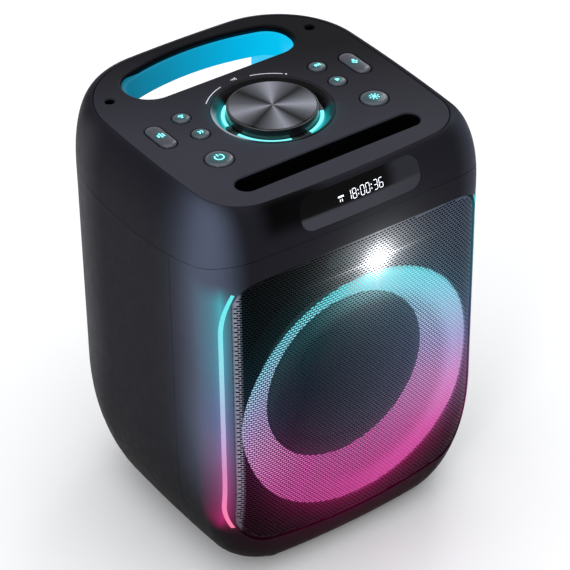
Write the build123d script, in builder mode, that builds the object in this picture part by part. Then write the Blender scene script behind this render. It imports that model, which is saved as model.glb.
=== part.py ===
from build123d import *
import math
import os

# Party speaker. Millimetres, +Z up. The grille faces -Y, and +X is to the right when seen from the front.
# The origin is on the floor, under the middle of the cabinet.
os.makedirs("parts", exist_ok=True)

# ---------------------------------------------------------------- cabinet
HALF_WIDTH = 126.0
FRONT_Y = -127.0
REAR_Y = 127.0
FOOT_HEIGHT = 5.0
PANEL_Z = 345.0
WALL = 3.0
SIDE_BOW = 4.0
FRONT_BOW = 6.0
FRONT_CORNER = 36.0
REAR_CORNER = 82.0
LOW_ROLL_HEIGHT = 102.0
LOW_ROLL_SIDE = 38.0
LOW_ROLL_FRONT = 25.0
LOW_ROLL_REAR = 66.0
TOP_ROLL_HEIGHT = 52.0
TOP_ROLL = 14.0
LOW_ROLL_ANGLES = (0, 14, 28, 42, 56, 72, 90)
TOP_ROLL_ANGLES = (0, 20, 38, 54, 70, 80, 90)
STRAIGHT_SHARES = (0.08, 0.25, 0.5, 0.75, 0.92)
SEAM_Y = -58.0
PARTING_FRONT_Z = 312.0
PARTING_MIDDLE_Z = 287.0
SHELL_GAP = 0.4
FIT = 0.2
REACH = 160.0

# ------------------------------------------------------------ top controls
PANEL_THICK = 3.0
PANEL_INSET = 15.0
PANEL_GAP = 0.5
PANEL_EDGE = 0.6
LEDGE_WIDTH = 6.0
LEDGE_THICK = 3.0
KNOB_Y = -11.5
KNOB_RADIUS = 34.5
KNOB_TOP = PANEL_Z + 3.0
KNOB_WALL = 3.0
DISC_RADIUS = 33.0
DISC_THICK = 1.4
WELL_RADIUS = 46.0
WELL_FLOOR_RADIUS = 39.5
WELL_DEPTH = 7.0
WELL_THICK = 2.0
WELL_RIM = 1.2
KNOB_BOTTOM = 339.0
KNOB_HUB = 6.0
HALO_INNER = 35.3
HALO_OUTER = 38.5
HALO_HEIGHT = 2.4
SHAFT_RADIUS = 3.0
SHAFT_FIT = 0.05
SHAFT_BOTTOM = 326.0
SHAFT_TOP = 344.5
ENCODER_SIDE = 14.0
ENCODER_HEIGHT = 7.0
ENCODER_BUSH = 4.6
SLOT_Y = -82.4
SLOT_LENGTH = 162.0
SLOT_WIDTH = 18.0
SLOT_DEPTH = 14.0
SLOT_WALL = 2.0
HANDLE_HALF = 74.5
HANDLE_FRONT_Y = 51.0
HANDLE_REAR_Y = 103.0
HANDLE_BOW = 14.0
HANDLE_CORNER = 21.0
HANDLE_RIM = 2.4
LINER_THICK = 2.4
LINER_TOP = 340.0
BAR_UNDER_Z = 323.0
SCOOP_FLOOR_Z = 278.0
SCOOP_CURVE = 30.0
PANEL_SCREW_X = 91.7
PANEL_SCREW_Y = 68.9
SLEEVE_RADIUS = 5.2
SLEEVE_BOTTOM = 334.0
BOSS_RADIUS = 5.0
BOSS_BOTTOM = 322.0
BOSS_RIB_X = 102.0
BOSS_RIB_LENGTH = 24.0
PANEL_SCREWS = ((-PANEL_SCREW_X, PANEL_SCREW_Y), (PANEL_SCREW_X, PANEL_SCREW_Y))
SCREW_RADIUS = 1.5
SCREW_HEAD = 3.2
POSTS = ((-94.0, -62.0), (94.0, -62.0), (-94.0, 31.0), (94.0, 31.0))
POST_RADIUS = 4.0

# Buttons: name, centre x, centre y, width, length
BUTTONS = (
    ("power_button", -69.7, -44.0, 21.0, 21.0),
    ("light_button", 69.7, -44.0, 21.0, 21.0),
    ("mode_button", -62.0, -8.4, 13.5, 13.5),
    ("pairing_button", -61.8, 17.5, 13.5, 13.5),
    ("play_button", 62.0, -8.4, 13.5, 13.5),
    ("skip_button", 61.8, 17.5, 13.5, 13.5),
    ("bass_button", -88.0, 4.8, 13.0, 32.0),
    ("voice_button", 88.0, 4.8, 13.0, 32.0),
)
BUTTON_GAP = 0.5
BUTTON_PROUD = 1.6
BUTTON_FLANGE = 1.6
BUTTON_FLANGE_THICK = 1.5
BUTTON_STEM = 2.4
BUTTON_RECESS = 1.0
BOARD_TOP = 324.0
BOARD_THICK = 1.6
SWITCH_SIDE = 6.0
SWITCH_BODY = 3.6
SWITCH_TOP = 330.2
STEM_BOTTOM = 331.0
CONTROL_BOARD_Y = -18.0
CONTROL_BOARD_WIDTH = 200.0
CONTROL_BOARD_DEPTH = 106.0
SCREW_HEAD_HEIGHT = 2.2
BOARD_SCREW_LENGTH = 8.0

# ------------------------------------------------------------------ front
GRILLE_HALF = 110.5
GRILLE_TOP = 294.5
GRILLE_BOTTOM = 33.0
GRILLE_TOP_BOW = 4.5
GRILLE_BOTTOM_BOW = 13.0
GRILLE_TOP_CORNER = 22.0
GRILLE_BOTTOM_CORNER = 36.0
GRILLE_THICK = 1.2
GRILLE_SINK = 1.2
GRILLE_FLANGE = 6.0
RING_Z = 154.0
RING_OUTER = 104.0
RING_INNER = 73.0
RING_SKIN = 2.0
RING_LIP = 3.0
RING_FRONT_Y = -114.3
RING_BACK_Y = -104.3
BAFFLE_FRONT_Y = -97.0
BAFFLE_THICK = 8.0
BAFFLE_TOP = 300.0
BAFFLE_HOLE = 72.0
STRIP_X = 116.1
STRIP_WIDTH = 2.4
STRIP_TOP = 283.0
STRIP_BOTTOM = 60.0
STRIP_TOP_BEND = 38.0
STRIP_BOTTOM_BEND = 26.0
STRIP_TOP_IN = 7.0
STRIP_BOTTOM_IN = 6.5
STRIP_SINK = 0.5
STRIP_DEPTH = 4.5
STROBE_Z = 270.0
STROBE_HALF = 20.0
STROBE_HEIGHT = 12.0
WINDOW_Z = 329.5
WINDOW_HALF = 53.0
WINDOW_HEIGHT = 26.0
WINDOW_CORNER = 10.0
WINDOW_THICK = 2.0
WINDOW_SINK = 0.3
DISPLAY_HALF = 42.0
DISPLAY_HEIGHT = 12.0

RIM_THICK = 3.0
RIM_CLEAR = 0.4
RING_BOARD_INNER = 86.0
RING_BOARD_OUTER = 100.0
RING_LEDS = 24
LED_SIDE = 4.0
LED_HEIGHT = 1.0
STRIP_BOARD_X = 113.8
STRIP_BOARD_Z = 175.0
STRIP_BOARD_WIDTH = 6.4
STRIP_BOARD_LENGTH = 190.0
STRIP_LEDS = 12
STRIP_BACK_Y = BAFFLE_FRONT_Y - BOARD_THICK - LED_HEIGHT - FIT
STROBE_DEPTH = 11.0
STROBE_TAPER = 12.0
STROBE_LED_X = 10.0
DISPLAY_FRONT = 114.0
DISPLAY_Z = 331.0
DISPLAY_DIGITS = 60.0
DIGIT_BLOCK = 1.5
DISPLAY_BOSS_X = 46.0
DISPLAY_BOSS_WIDTH = 6.0
DISPLAY_BOSS_LENGTH = 5.2

# ----------------------------------------------------------------- woofer
WOOFER_SCREWS = 6
WOOFER_SCREW_CIRCLE = 78.0
WOOFER_SCREW_START = 30.0
WOOFER_SCREW_LENGTH = 10.5
WOOFER_HEAD = 1.8
FLANGE_RADIUS = 83.0
FLANGE_FRONT_Y = -100.0
FLANGE_THICK = 3.0
RUN = 2.5
BASKET_SKIN = 2.2
BASKET_BACK_Y = -48.0
BASKET_BORE = 20.0
WINDOW_START_Y = -86.0
WINDOW_END_Y = -56.0
SKIN = 0.8
SURROUND_OUTER = 70.0
CONE_NECK_Y = -72.0
CAP_RADIUS = 21.0
CAP_STEPS = 8
CAP_DEPTH = 7.0
CAP_EDGE_Y = -77.0
COIL_WALL = 0.6
COIL_WIND_FRONT_Y = -50.0
COIL_WIND_BACK_Y = -40.0
SPIDER_OUTER = 50.0
SPIDER_Y = -64.0
SPIDER_WAVE = 2.0
SPIDER_WAVES = 5
GAP_RADIUS = 17.4
MAGNET_BORE = 24.0
MAGNET_FRONT_Y = -42.0
MAGNET_BACK_Y = -22.0
BACK_PLATE = 6.0
POLE_RADIUS = 14.8
CONE_RADIUS = 58.0
COIL_RADIUS = 16.0
MAGNET_RADIUS = 50.0

# ------------------------------------------------------------------- back
PORT_Z = 215.0
PORT_RADIUS = 25.0
PORT_WALL = 2.5
PORT_FLARE = 36.0
PORT_LENGTH = 95.0
PORT_MOUTH_Y = 126.0
PORT_FLARE_DEPTH = 16.0
PORT_FLANGE_Y = 122.8
PORT_FLANGE = 42.0
IO_Z = 138.0
IO_HALF = 54.0
IO_HALF_HEIGHT = 24.0
IO_BORDER = 6.0
IO_BACK_Y = 116.0
IO_THICK = 3.0
IO_BOARD_Y = 98.0
MIC_X = (-44.0, -22.0)
AUX_X = -4.0
USB_X = 13.0
INLET_X = 37.0
IO_FACE_Y = 119.0
IO_RIM_Y = 122.6
IO_RIM_WALL = 2.0
IO_SCREWS = ((-46.0, 156.0), (46.0, 156.0), (-46.0, 120.0), (46.0, 120.0))
MIC_BODY = 7.0
MIC_BORE = 3.2
MIC_DEPTH = 17.0
AUX_BODY = 4.0
AUX_BORE = 1.8
AUX_DEPTH = 14.0
USB_WIDTH = 14.6
USB_HEIGHT = 7.2
USB_SKIN = 1.2
USB_TONGUE = 1.8
INLET_WIDTH = 26.0
INLET_HEIGHT = 14.0
PIN_X = 4.3
PIN_RADIUS = 1.2
FEET = ((-62.0, -84.0), (62.0, -84.0), (-62.0, 38.0), (62.0, 38.0))
FOOT_RADIUS = 14.0

# ------------------------------------------------------------ electronics
CELL_RADIUS = 9.2
CELL_LENGTH = 65.0
CELL_PITCH = 20.0
CELL_COUNT = 6
CELL_Z = 24.0
TRAY_FLOOR_Z = 8.2
MAIN_BOARD_Z = 60.0
MAIN_BOARD_HALF = 70.0
MAIN_BOARD_FRONT_Y = -40.0
MAIN_BOARD_REAR_Y = 56.0
TRAY_WIDTH = 124.0
TRAY_DEPTH = 71.0
PILLARS = ((-66.0, -34.0), (66.0, -34.0), (-66.0, 48.0), (66.0, 48.0))
SINK_Y = 20.0
SINK_WIDTH = 64.0
SINK_DEPTH = 50.0
SINK_HEIGHT = 25.0
SINK_PITCH = 6.4
SINK_SLOTS = 9
CAPACITOR_X = 50.0
CAPACITOR_RADIUS = 8.0
FOOT_SEAT = 2.8
FOOT_HEAD = 1.6


def body_levels(inset):
    """Height and the side, front and rear insets of each level of the cabinet's outside."""
    levels = []
    for angle in LOW_ROLL_ANGLES:
        tuck = 1 - math.sin(math.radians(angle))
        rise = 1 - math.cos(math.radians(angle))
        z = FOOT_HEIGHT + inset + (LOW_ROLL_HEIGHT - inset) * rise
        rolls = (LOW_ROLL_SIDE, LOW_ROLL_FRONT, LOW_ROLL_REAR)
        levels.append((z, *[inset + (roll - inset) * tuck for roll in rolls]))
    waist = FOOT_HEIGHT + LOW_ROLL_HEIGHT
    shoulder = PANEL_Z - TOP_ROLL_HEIGHT
    for share in STRAIGHT_SHARES:
        levels.append((waist + (shoulder - waist) * share, inset, inset, inset))
    for angle in TOP_ROLL_ANGLES:
        back = inset + TOP_ROLL * (1 - math.cos(math.radians(angle)))
        z = shoulder + (TOP_ROLL_HEIGHT - inset) * math.sin(math.radians(angle))
        levels.append((z, back, back, back))
    return levels


def plan(z, side, front, rear, trim=0.0):
    """The cabinet's plan outline at one height: four bowed sides joined by round corners."""
    x = HALF_WIDTH - side
    y0 = FRONT_Y + front
    y1 = REAR_Y - rear
    xc = x - SIDE_BOW
    yc = y0 + FRONT_BOW
    yd = y1 - FRONT_BOW
    with BuildSketch(Plane.XY.offset(z)) as level:
        with BuildLine():
            ThreePointArc((-xc, yc), (0, y0), (xc, yc))
            ThreePointArc((xc, yc), (x, (y0 + y1) / 2), (xc, yd))
            ThreePointArc((xc, yd), (0, y1), (-xc, yd))
            ThreePointArc((-xc, yd), (-x, (y0 + y1) / 2), (-xc, yc))
        make_face()
        fillet(level.vertices().group_by(Axis.Y)[0], FRONT_CORNER - trim)
        fillet(level.vertices().group_by(Axis.Y)[-1], REAR_CORNER - side)
    return level.sketch


def body_solid(inset):
    """The cabinet's outside, or the same shape moved in by inset."""
    with BuildPart() as solid:
        loft([plan(*level, inset).face() for level in body_levels(inset)])
    return solid.part


def panel_outline(z, inset):
    return plan(z, inset, inset, inset, 0.0)


def handle_outline(z, inset):
    """The hand opening in plan, moved in by inset."""
    half = HANDLE_HALF - inset
    front = HANDLE_FRONT_Y + inset
    rear = HANDLE_REAR_Y - inset
    with BuildSketch(Plane.XY.offset(z)) as outline:
        with BuildLine():
            Polyline((-half, rear - HANDLE_BOW), (-half, front), (half, front), (half, rear - HANDLE_BOW))
            ThreePointArc((half, rear - HANDLE_BOW), (0, rear), (-half, rear - HANDLE_BOW))
        make_face()
        fillet(outline.vertices(), HANDLE_CORNER - inset)
    return outline.sketch


def scoop_solid(inset):
    """The space behind the hand opening: down from the top, then out of the back under the bar."""
    half = HANDLE_HALF - inset
    floor = SCOOP_FLOOR_Z + inset
    front = HANDLE_FRONT_Y + inset
    with BuildPart() as scoop:
        extrude(handle_outline(floor, inset), PANEL_Z + WALL - floor)
        with BuildSketch(Plane.XY.offset(floor)):
            with Locations((0, HANDLE_REAR_Y)):
                Rectangle(2 * half, HANDLE_REAR_Y - HANDLE_FRONT_Y)
        extrude(amount=BAR_UNDER_Z - inset - floor)
        with BuildSketch(Plane.YZ) as side:
            with BuildLine():
                top = PANEL_Z + WALL
                Polyline((front, floor), (REACH, floor), (REACH, top), (front, top), (front, floor))
            make_face()
            fillet(side.vertices().group_by(Axis.Y)[0].sort_by(Axis.X)[0], SCOOP_CURVE - inset)
        extrude(amount=REACH, both=True, mode=Mode.INTERSECT)
    return scoop.part


def parting_solid(drop):
    """Everything above the curved parting line between the top shell and the lower shells."""
    bend = (REACH / REAR_Y) ** 2
    end_z = PARTING_MIDDLE_Z + (PARTING_FRONT_Z - PARTING_MIDDLE_Z) * bend - drop
    with BuildPart() as region:
        with BuildSketch(Plane.YZ):
            with BuildLine():
                ThreePointArc((-REACH, end_z), (0, PARTING_MIDDLE_Z - drop), (REACH, end_z))
                top = PANEL_Z + REACH
                Polyline((REACH, end_z), (REACH, top), (-REACH, top), (-REACH, end_z))
            make_face()
        extrude(amount=REACH, both=True)
    return region.part


def grille_outline(grow):
    """The grille's outline seen from the front, grown by grow."""
    half = GRILLE_HALF + grow
    low = GRILLE_BOTTOM - grow
    high = GRILLE_TOP + grow
    low_side = low + GRILLE_BOTTOM_BOW
    high_side = high - GRILLE_TOP_BOW
    with BuildSketch(Plane.XZ) as outline:
        with BuildLine():
            ThreePointArc((-half, low_side), (0, low), (half, low_side))
            Line((half, low_side), (half, high_side))
            ThreePointArc((half, high_side), (0, high), (-half, high_side))
            Line((-half, high_side), (-half, low_side))
        make_face()
        fillet(outline.vertices().group_by(Axis.Y)[0], GRILLE_BOTTOM_CORNER + grow)
        fillet(outline.vertices().group_by(Axis.Y)[-1], GRILLE_TOP_CORNER + grow)
    return outline.sketch


def strip_band(side, grow):
    """One light strip's path seen from the front: an upright bar whose ends curl in towards the grille."""
    with BuildPart() as band:
        with BuildSketch(Plane.XZ):
            with BuildLine():
                bottom = (side * (STRIP_X - STRIP_BOTTOM_IN), STRIP_BOTTOM)
                low = (side * STRIP_X, STRIP_BOTTOM + STRIP_BOTTOM_BEND)
                high = (side * STRIP_X, STRIP_TOP - STRIP_TOP_BEND)
                top = (side * (STRIP_X - STRIP_TOP_IN), STRIP_TOP)
                TangentArc(low, bottom, tangent=(0, -1))
                Line(low, high)
                TangentArc(high, top, tangent=(0, 1))
            trace(line_width=STRIP_WIDTH + 2 * grow)
        extrude(amount=REACH)
    return band.part


def window_prism(grow):
    with BuildPart() as prism:
        with BuildSketch(Plane.XZ):
            with Locations((0, WINDOW_Z)):
                RectangleRounded(2 * (WINDOW_HALF + grow), WINDOW_HEIGHT + 2 * grow, WINDOW_CORNER + grow)
        extrude(amount=REACH)
    return prism.part


def button_face(width, length):
    """A round or pill-shaped face, its long side along Y, centred on the origin."""
    with BuildSketch() as face:
        if length > width:
            SlotOverall(length, width, rotation=90)
        else:
            Circle(width / 2)
    return face.sketch


def turned_profile(points, height=RING_Z):
    """The cross-section of a piece turned about an axis along Y, from (radius, y) points."""
    with BuildSketch(Plane.XY.offset(height)) as outline:
        with BuildLine():
            Polyline(*points, close=True)
        make_face()
    return outline.sketch


# ============================================================ reference shapes
DRIVER_AXIS = Axis((0, 0, RING_Z), (0, 1, 0))
PORT_AXIS = Axis((0, 0, PORT_Z), (0, 1, 0))
KNOB_AXIS = Axis((0, KNOB_Y, 0), (0, 0, 1))
below_ledge = Box(2 * REACH, 2 * REACH, 2 * (PANEL_Z - PANEL_THICK - LEDGE_THICK))
front_space = Pos(0, SEAM_Y - REACH, 0) * Box(2 * REACH, 2 * REACH, 3 * PANEL_Z)
rear_space = Pos(0, SEAM_Y + SHELL_GAP + REACH, 0) * Box(2 * REACH, 2 * REACH, 3 * PANEL_Z)
outer = body_solid(0.0)
shell = outer - (body_solid(WALL) & below_ledge)
inner = body_solid(WALL + FIT)
above = parting_solid(0.0)
lower = shell - parting_solid(SHELL_GAP)
scoop = scoop_solid(0.0)
window_skin = body_solid(WINDOW_SINK) - body_solid(WINDOW_THICK)
window_pocket = window_prism(FIT) & (outer - body_solid(WINDOW_THICK + FIT))
grille_face = body_solid(GRILLE_SINK)
grille_back = body_solid(GRILLE_SINK + GRILLE_THICK)
body_trim = body_solid(FIT)
strip_skin = body_solid(STRIP_SINK) - body_solid(STRIP_DEPTH)
strip_slots = strip_band(-1, FIT) + strip_band(1, FIT)
flange_body = grille_back - body_solid(GRILLE_SINK + GRILLE_THICK + GRILLE_FLANGE)
rim_body = body_solid(GRILLE_SINK + GRILLE_THICK + FIT)
liner_outside = scoop_solid(SHELL_GAP)
liner_inside = scoop_solid(SHELL_GAP + LINER_THICK)

# ================================================================= the shells
with BuildPart() as top_shell:
    add(shell)
    add(above, mode=Mode.INTERSECT)
    extrude(panel_outline(PANEL_Z - PANEL_THICK, PANEL_INSET), WALL + PANEL_THICK, mode=Mode.SUBTRACT)
    extrude(panel_outline(PANEL_Z - REACH, PANEL_INSET + LEDGE_WIDTH), REACH, mode=Mode.SUBTRACT)
    with BuildSketch(Plane.XY.offset(BOSS_BOTTOM)):
        with Locations(*PANEL_SCREWS):
            Circle(BOSS_RADIUS)
        with Locations((-BOSS_RIB_X, PANEL_SCREW_Y), (BOSS_RIB_X, PANEL_SCREW_Y)):
            Rectangle(BOSS_RIB_LENGTH, WALL)
    extrude(amount=SLEEVE_BOTTOM - BOSS_BOTTOM)
    with Locations(*[(x, y, SLEEVE_BOTTOM) for x, y in PANEL_SCREWS]):
        Hole(SCREW_RADIUS, SLEEVE_BOTTOM - BOSS_BOTTOM)
    with BuildSketch(Plane.XZ.offset(DISPLAY_FRONT)):
        with Locations((-DISPLAY_BOSS_X, DISPLAY_Z), (DISPLAY_BOSS_X, DISPLAY_Z)):
            Rectangle(DISPLAY_BOSS_WIDTH, DISPLAY_HEIGHT)
    extrude(amount=DISPLAY_BOSS_LENGTH)
    add(scoop, mode=Mode.SUBTRACT)
    add(window_pocket, mode=Mode.SUBTRACT)
    with BuildSketch(Plane.XZ):
        with Locations((0, DISPLAY_Z)):
            SlotOverall(2 * DISPLAY_HALF, DISPLAY_HEIGHT)
    extrude(amount=REACH, mode=Mode.SUBTRACT)
top_shell.part.label = "top_shell"
export_step(top_shell.part, "parts/top_shell.step")

with BuildPart() as front_shell:
    add(lower)
    add(front_space, mode=Mode.INTERSECT)
    extrude(grille_outline(FIT), REACH, mode=Mode.SUBTRACT)
    add(strip_slots, mode=Mode.SUBTRACT)
    with Locations(*[(x, y, FOOT_HEIGHT) for x, y in FEET if y < SEAM_Y]):
        Cylinder(SCREW_RADIUS, 2 * FOOT_HEIGHT, mode=Mode.SUBTRACT)
front_shell.part.label = "front_shell"
export_step(front_shell.part, "parts/front_shell.step")

with BuildPart() as rear_shell:
    add(lower)
    add(rear_space, mode=Mode.INTERSECT)
    add(scoop, mode=Mode.SUBTRACT)
    with BuildSketch(Plane.XZ):
        with Locations((0, IO_Z)):
            RectangleRounded(2 * IO_HALF, 2 * IO_HALF_HEIGHT, IO_BORDER)
        with Locations((0, PORT_Z)):
            Circle(PORT_FLARE + SHELL_GAP)
    extrude(amount=-REACH, mode=Mode.SUBTRACT)
    with Locations(*[(x, y, FOOT_HEIGHT) for x, y in FEET if y > SEAM_Y]):
        Cylinder(SCREW_RADIUS, 2 * FOOT_HEIGHT, mode=Mode.SUBTRACT)
rear_shell.part.label = "rear_shell"
export_step(rear_shell.part, "parts/rear_shell.step")

# ====================================================== top panel and handle
with BuildPart() as top_panel:
    with BuildSketch(Plane.XY.offset(PANEL_Z - PANEL_THICK)):
        add(panel_outline(0, PANEL_INSET + PANEL_GAP))
    extrude(amount=PANEL_THICK)
    fillet(top_panel.faces().sort_by(Axis.Z)[-1].outer_wire().edges(), PANEL_EDGE)
    with BuildSketch(Plane.XY.offset(PANEL_Z - SLOT_DEPTH - SLOT_WALL)):
        with Locations((0, SLOT_Y)):
            SlotOverall(SLOT_LENGTH + 2 * SLOT_WALL, SLOT_WIDTH + 2 * SLOT_WALL)
    extrude(amount=SLOT_DEPTH + SLOT_WALL - PANEL_THICK)
    with BuildSketch(Plane.XY.offset(SLEEVE_BOTTOM)):
        with Locations(*PANEL_SCREWS):
            Circle(SLEEVE_RADIUS)
    extrude(amount=PANEL_Z - PANEL_THICK - SLEEVE_BOTTOM)
    with BuildSketch(Plane.XY.offset(BOARD_TOP)):
        with Locations(*POSTS):
            Circle(POST_RADIUS)
            Circle(SCREW_RADIUS, mode=Mode.SUBTRACT)
    extrude(amount=PANEL_Z - PANEL_THICK - BOARD_TOP)
    with BuildSketch(Plane.XY.offset(PANEL_Z - SLOT_DEPTH)):
        with Locations((0, SLOT_Y)):
            SlotOverall(SLOT_LENGTH, SLOT_WIDTH)
    extrude(amount=SLOT_DEPTH, mode=Mode.SUBTRACT)
    with BuildSketch(Plane.XY.offset(PANEL_Z - PANEL_THICK)):
        with Locations((0, KNOB_Y)):
            Circle(WELL_RADIUS + FIT)
        add(handle_outline(0, 0.0))
        for _, x, y, width, length in BUTTONS:
            with Locations((x, y)):
                add(button_face(width + 2 * BUTTON_GAP, length + 2 * BUTTON_GAP))
    extrude(amount=PANEL_THICK, mode=Mode.SUBTRACT)
    with Locations(*[(x, y, PANEL_Z) for x, y in PANEL_SCREWS]):
        CounterBoreHole(SCREW_RADIUS, SCREW_HEAD + SHELL_GAP, PANEL_Z - SLEEVE_BOTTOM - WELL_THICK)
    inner_rims = top_panel.faces().filter_by(Plane.XY).sort_by(Axis.Z)[-1].inner_wires().sort_by(Axis.Y)
    chamfer([edge for wire in inner_rims[:-1] for edge in wire.edges()], BUTTON_RECESS)
    rim_edges = top_panel.edges().filter_by_position(Axis.Z, PANEL_Z, PANEL_Z)
    rim_edges = rim_edges.filter_by_position(Axis.Y, HANDLE_FRONT_Y, HANDLE_REAR_Y)
    fillet(rim_edges.filter_by_position(Axis.X, -HANDLE_HALF, HANDLE_HALF), HANDLE_RIM)
top_panel.part.label = "top_panel"
export_step(top_panel.part, "parts/top_panel.step")

with BuildPart() as handle_liner:
    add(liner_outside)
    add(liner_inside, mode=Mode.SUBTRACT)
    with BuildSketch(Plane.XY.offset(LINER_TOP)):
        Rectangle(2 * REACH, 2 * REACH)
    extrude(amount=REACH, mode=Mode.SUBTRACT)
    add(body_trim, mode=Mode.INTERSECT)
handle_liner.part.label = "handle_liner"
export_step(handle_liner.part, "parts/handle_liner.step")

# ============================================================== volume control
with BuildPart() as knob_well:
    with BuildSketch(Plane.XZ.offset(-KNOB_Y)):
        with BuildLine():
            floor_z = PANEL_Z - WELL_DEPTH
            Polyline(
                (ENCODER_BUSH + FIT, floor_z - WELL_THICK),
                (WELL_FLOOR_RADIUS + WELL_THICK, floor_z - WELL_THICK),
                (WELL_RADIUS, PANEL_Z - PANEL_THICK),
                (WELL_RADIUS, PANEL_Z),
                (WELL_RADIUS - WELL_RIM, PANEL_Z),
                (WELL_FLOOR_RADIUS, floor_z),
                (ENCODER_BUSH + FIT, floor_z),
                close=True,
            )
        make_face()
    revolve(axis=KNOB_AXIS)
knob_well.part.label = "knob_well"
export_step(knob_well.part, "parts/knob_well.step")

with BuildPart() as knob_halo:
    with BuildSketch(Plane.XY.offset(PANEL_Z - WELL_DEPTH)):
        with Locations((0, KNOB_Y)):
            Circle(HALO_OUTER)
            Circle(HALO_INNER, mode=Mode.SUBTRACT)
    extrude(amount=HALO_HEIGHT)
    fillet(knob_halo.faces().sort_by(Axis.Z)[-1].edges(), PANEL_EDGE)
knob_halo.part.label = "knob_light_ring"
export_step(knob_halo.part, "parts/knob_light_ring.step")

with BuildPart() as volume_knob:
    with BuildSketch(Plane.XY.offset(KNOB_BOTTOM)):
        with Locations((0, KNOB_Y)):
            Circle(KNOB_RADIUS)
    extrude(amount=KNOB_TOP - KNOB_BOTTOM)
    fillet(volume_knob.faces().sort_by(Axis.Z)[-1].edges(), PANEL_EDGE)
    with BuildSketch(Plane.XY.offset(KNOB_BOTTOM)):
        with Locations((0, KNOB_Y)):
            Circle(KNOB_RADIUS - KNOB_WALL)
            Circle(KNOB_HUB, mode=Mode.SUBTRACT)
    extrude(amount=KNOB_TOP - KNOB_WALL - KNOB_BOTTOM, mode=Mode.SUBTRACT)
    with BuildSketch(Plane.XY.offset(KNOB_BOTTOM)):
        with Locations((0, KNOB_Y)):
            Circle(SHAFT_RADIUS)
    extrude(amount=SHAFT_TOP - KNOB_BOTTOM, mode=Mode.SUBTRACT)
    with BuildSketch(Plane.XY.offset(KNOB_TOP - DISC_THICK / 2)):
        with Locations((0, KNOB_Y)):
            Circle(DISC_RADIUS + SHAFT_FIT)
    extrude(amount=DISC_THICK, mode=Mode.SUBTRACT)
volume_knob.part.label = "volume_knob"
export_step(volume_knob.part, "parts/volume_knob.step")

with BuildPart() as knob_disc:
    with BuildSketch(Plane.XY.offset(KNOB_TOP - DISC_THICK / 2)):
        with Locations((0, KNOB_Y)):
            Circle(DISC_RADIUS)
    extrude(amount=DISC_THICK)
    chamfer(knob_disc.faces().sort_by(Axis.Z)[-1].edges(), DISC_THICK / 3)
knob_disc.part.label = "knob_disc"
export_step(knob_disc.part, "parts/knob_disc.step")

with BuildPart() as encoder_body:
    with BuildSketch(Plane.XY.offset(BOARD_TOP)):
        with Locations((0, KNOB_Y)):
            RectangleRounded(ENCODER_SIDE, ENCODER_SIDE, PANEL_EDGE)
    extrude(amount=ENCODER_HEIGHT)
    with BuildSketch(Plane.XY.offset(BOARD_TOP + ENCODER_HEIGHT)):
        with Locations((0, KNOB_Y)):
            Circle(ENCODER_BUSH)
    extrude(amount=PANEL_Z - WELL_DEPTH - BOARD_TOP - ENCODER_HEIGHT)
    with BuildSketch(Plane.XY.offset(SHAFT_BOTTOM)):
        with Locations((0, KNOB_Y)):
            Circle(SHAFT_RADIUS + SHAFT_FIT)
    extrude(amount=PANEL_Z - SHAFT_BOTTOM, mode=Mode.SUBTRACT)
encoder_body.part.label = "encoder_body"
export_step(encoder_body.part, "parts/encoder_body.step")

with BuildPart() as encoder_shaft:
    with BuildSketch(Plane.XY.offset(SHAFT_BOTTOM)):
        with Locations((0, KNOB_Y)):
            Circle(SHAFT_RADIUS)
    extrude(amount=SHAFT_TOP - SHAFT_BOTTOM)
encoder_shaft.part.label = "encoder_shaft"
export_step(encoder_shaft.part, "parts/encoder_shaft.step")

# =================================================================== buttons
under = PANEL_Z - PANEL_THICK - FIT
for name, x, y, width, length in BUTTONS:
    with BuildPart() as button:
        with BuildSketch(Plane.XY.offset(under - BUTTON_FLANGE_THICK)):
            with Locations((x, y)):
                add(button_face(width + 2 * BUTTON_FLANGE, length + 2 * BUTTON_FLANGE))
        extrude(amount=BUTTON_FLANGE_THICK)
        with BuildSketch(Plane.XY.offset(under)):
            with Locations((x, y)):
                add(button_face(width, length))
        extrude(amount=PANEL_Z + BUTTON_PROUD - under)
        fillet(button.faces().sort_by(Axis.Z)[-1].edges(), BUTTON_PROUD - FIT)
        with BuildSketch(Plane.XY.offset(STEM_BOTTOM)):
            with Locations((x, y)):
                Circle(BUTTON_STEM)
        extrude(amount=under - BUTTON_FLANGE_THICK - STEM_BOTTOM)
    button.part.label = name
    export_step(button.part, f"parts/{name}.step")

with BuildPart() as control_board:
    with BuildSketch(Plane.XY.offset(BOARD_TOP - BOARD_THICK)):
        with Locations((0, CONTROL_BOARD_Y)):
            RectangleRounded(CONTROL_BOARD_WIDTH, CONTROL_BOARD_DEPTH, POST_RADIUS)
        with Locations(*POSTS):
            Circle(SCREW_RADIUS, mode=Mode.SUBTRACT)
    extrude(amount=BOARD_THICK)
control_board.part.label = "control_board"
export_step(control_board.part, "parts/control_board.step")

with BuildPart() as button_switches:
    with BuildSketch(Plane.XY.offset(BOARD_TOP)):
        with Locations(*[(x, y) for _, x, y, _, _ in BUTTONS]):
            Rectangle(SWITCH_SIDE, SWITCH_SIDE)
    extrude(amount=SWITCH_BODY)
    with BuildSketch(Plane.XY.offset(BOARD_TOP + SWITCH_BODY)):
        with Locations(*[(x, y) for _, x, y, _, _ in BUTTONS]):
            Circle(SCREW_RADIUS)
    extrude(amount=SWITCH_TOP - BOARD_TOP - SWITCH_BODY)
button_switches.part.label = "button_switches"
export_step(button_switches.part, "parts/button_switches.step")

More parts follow.
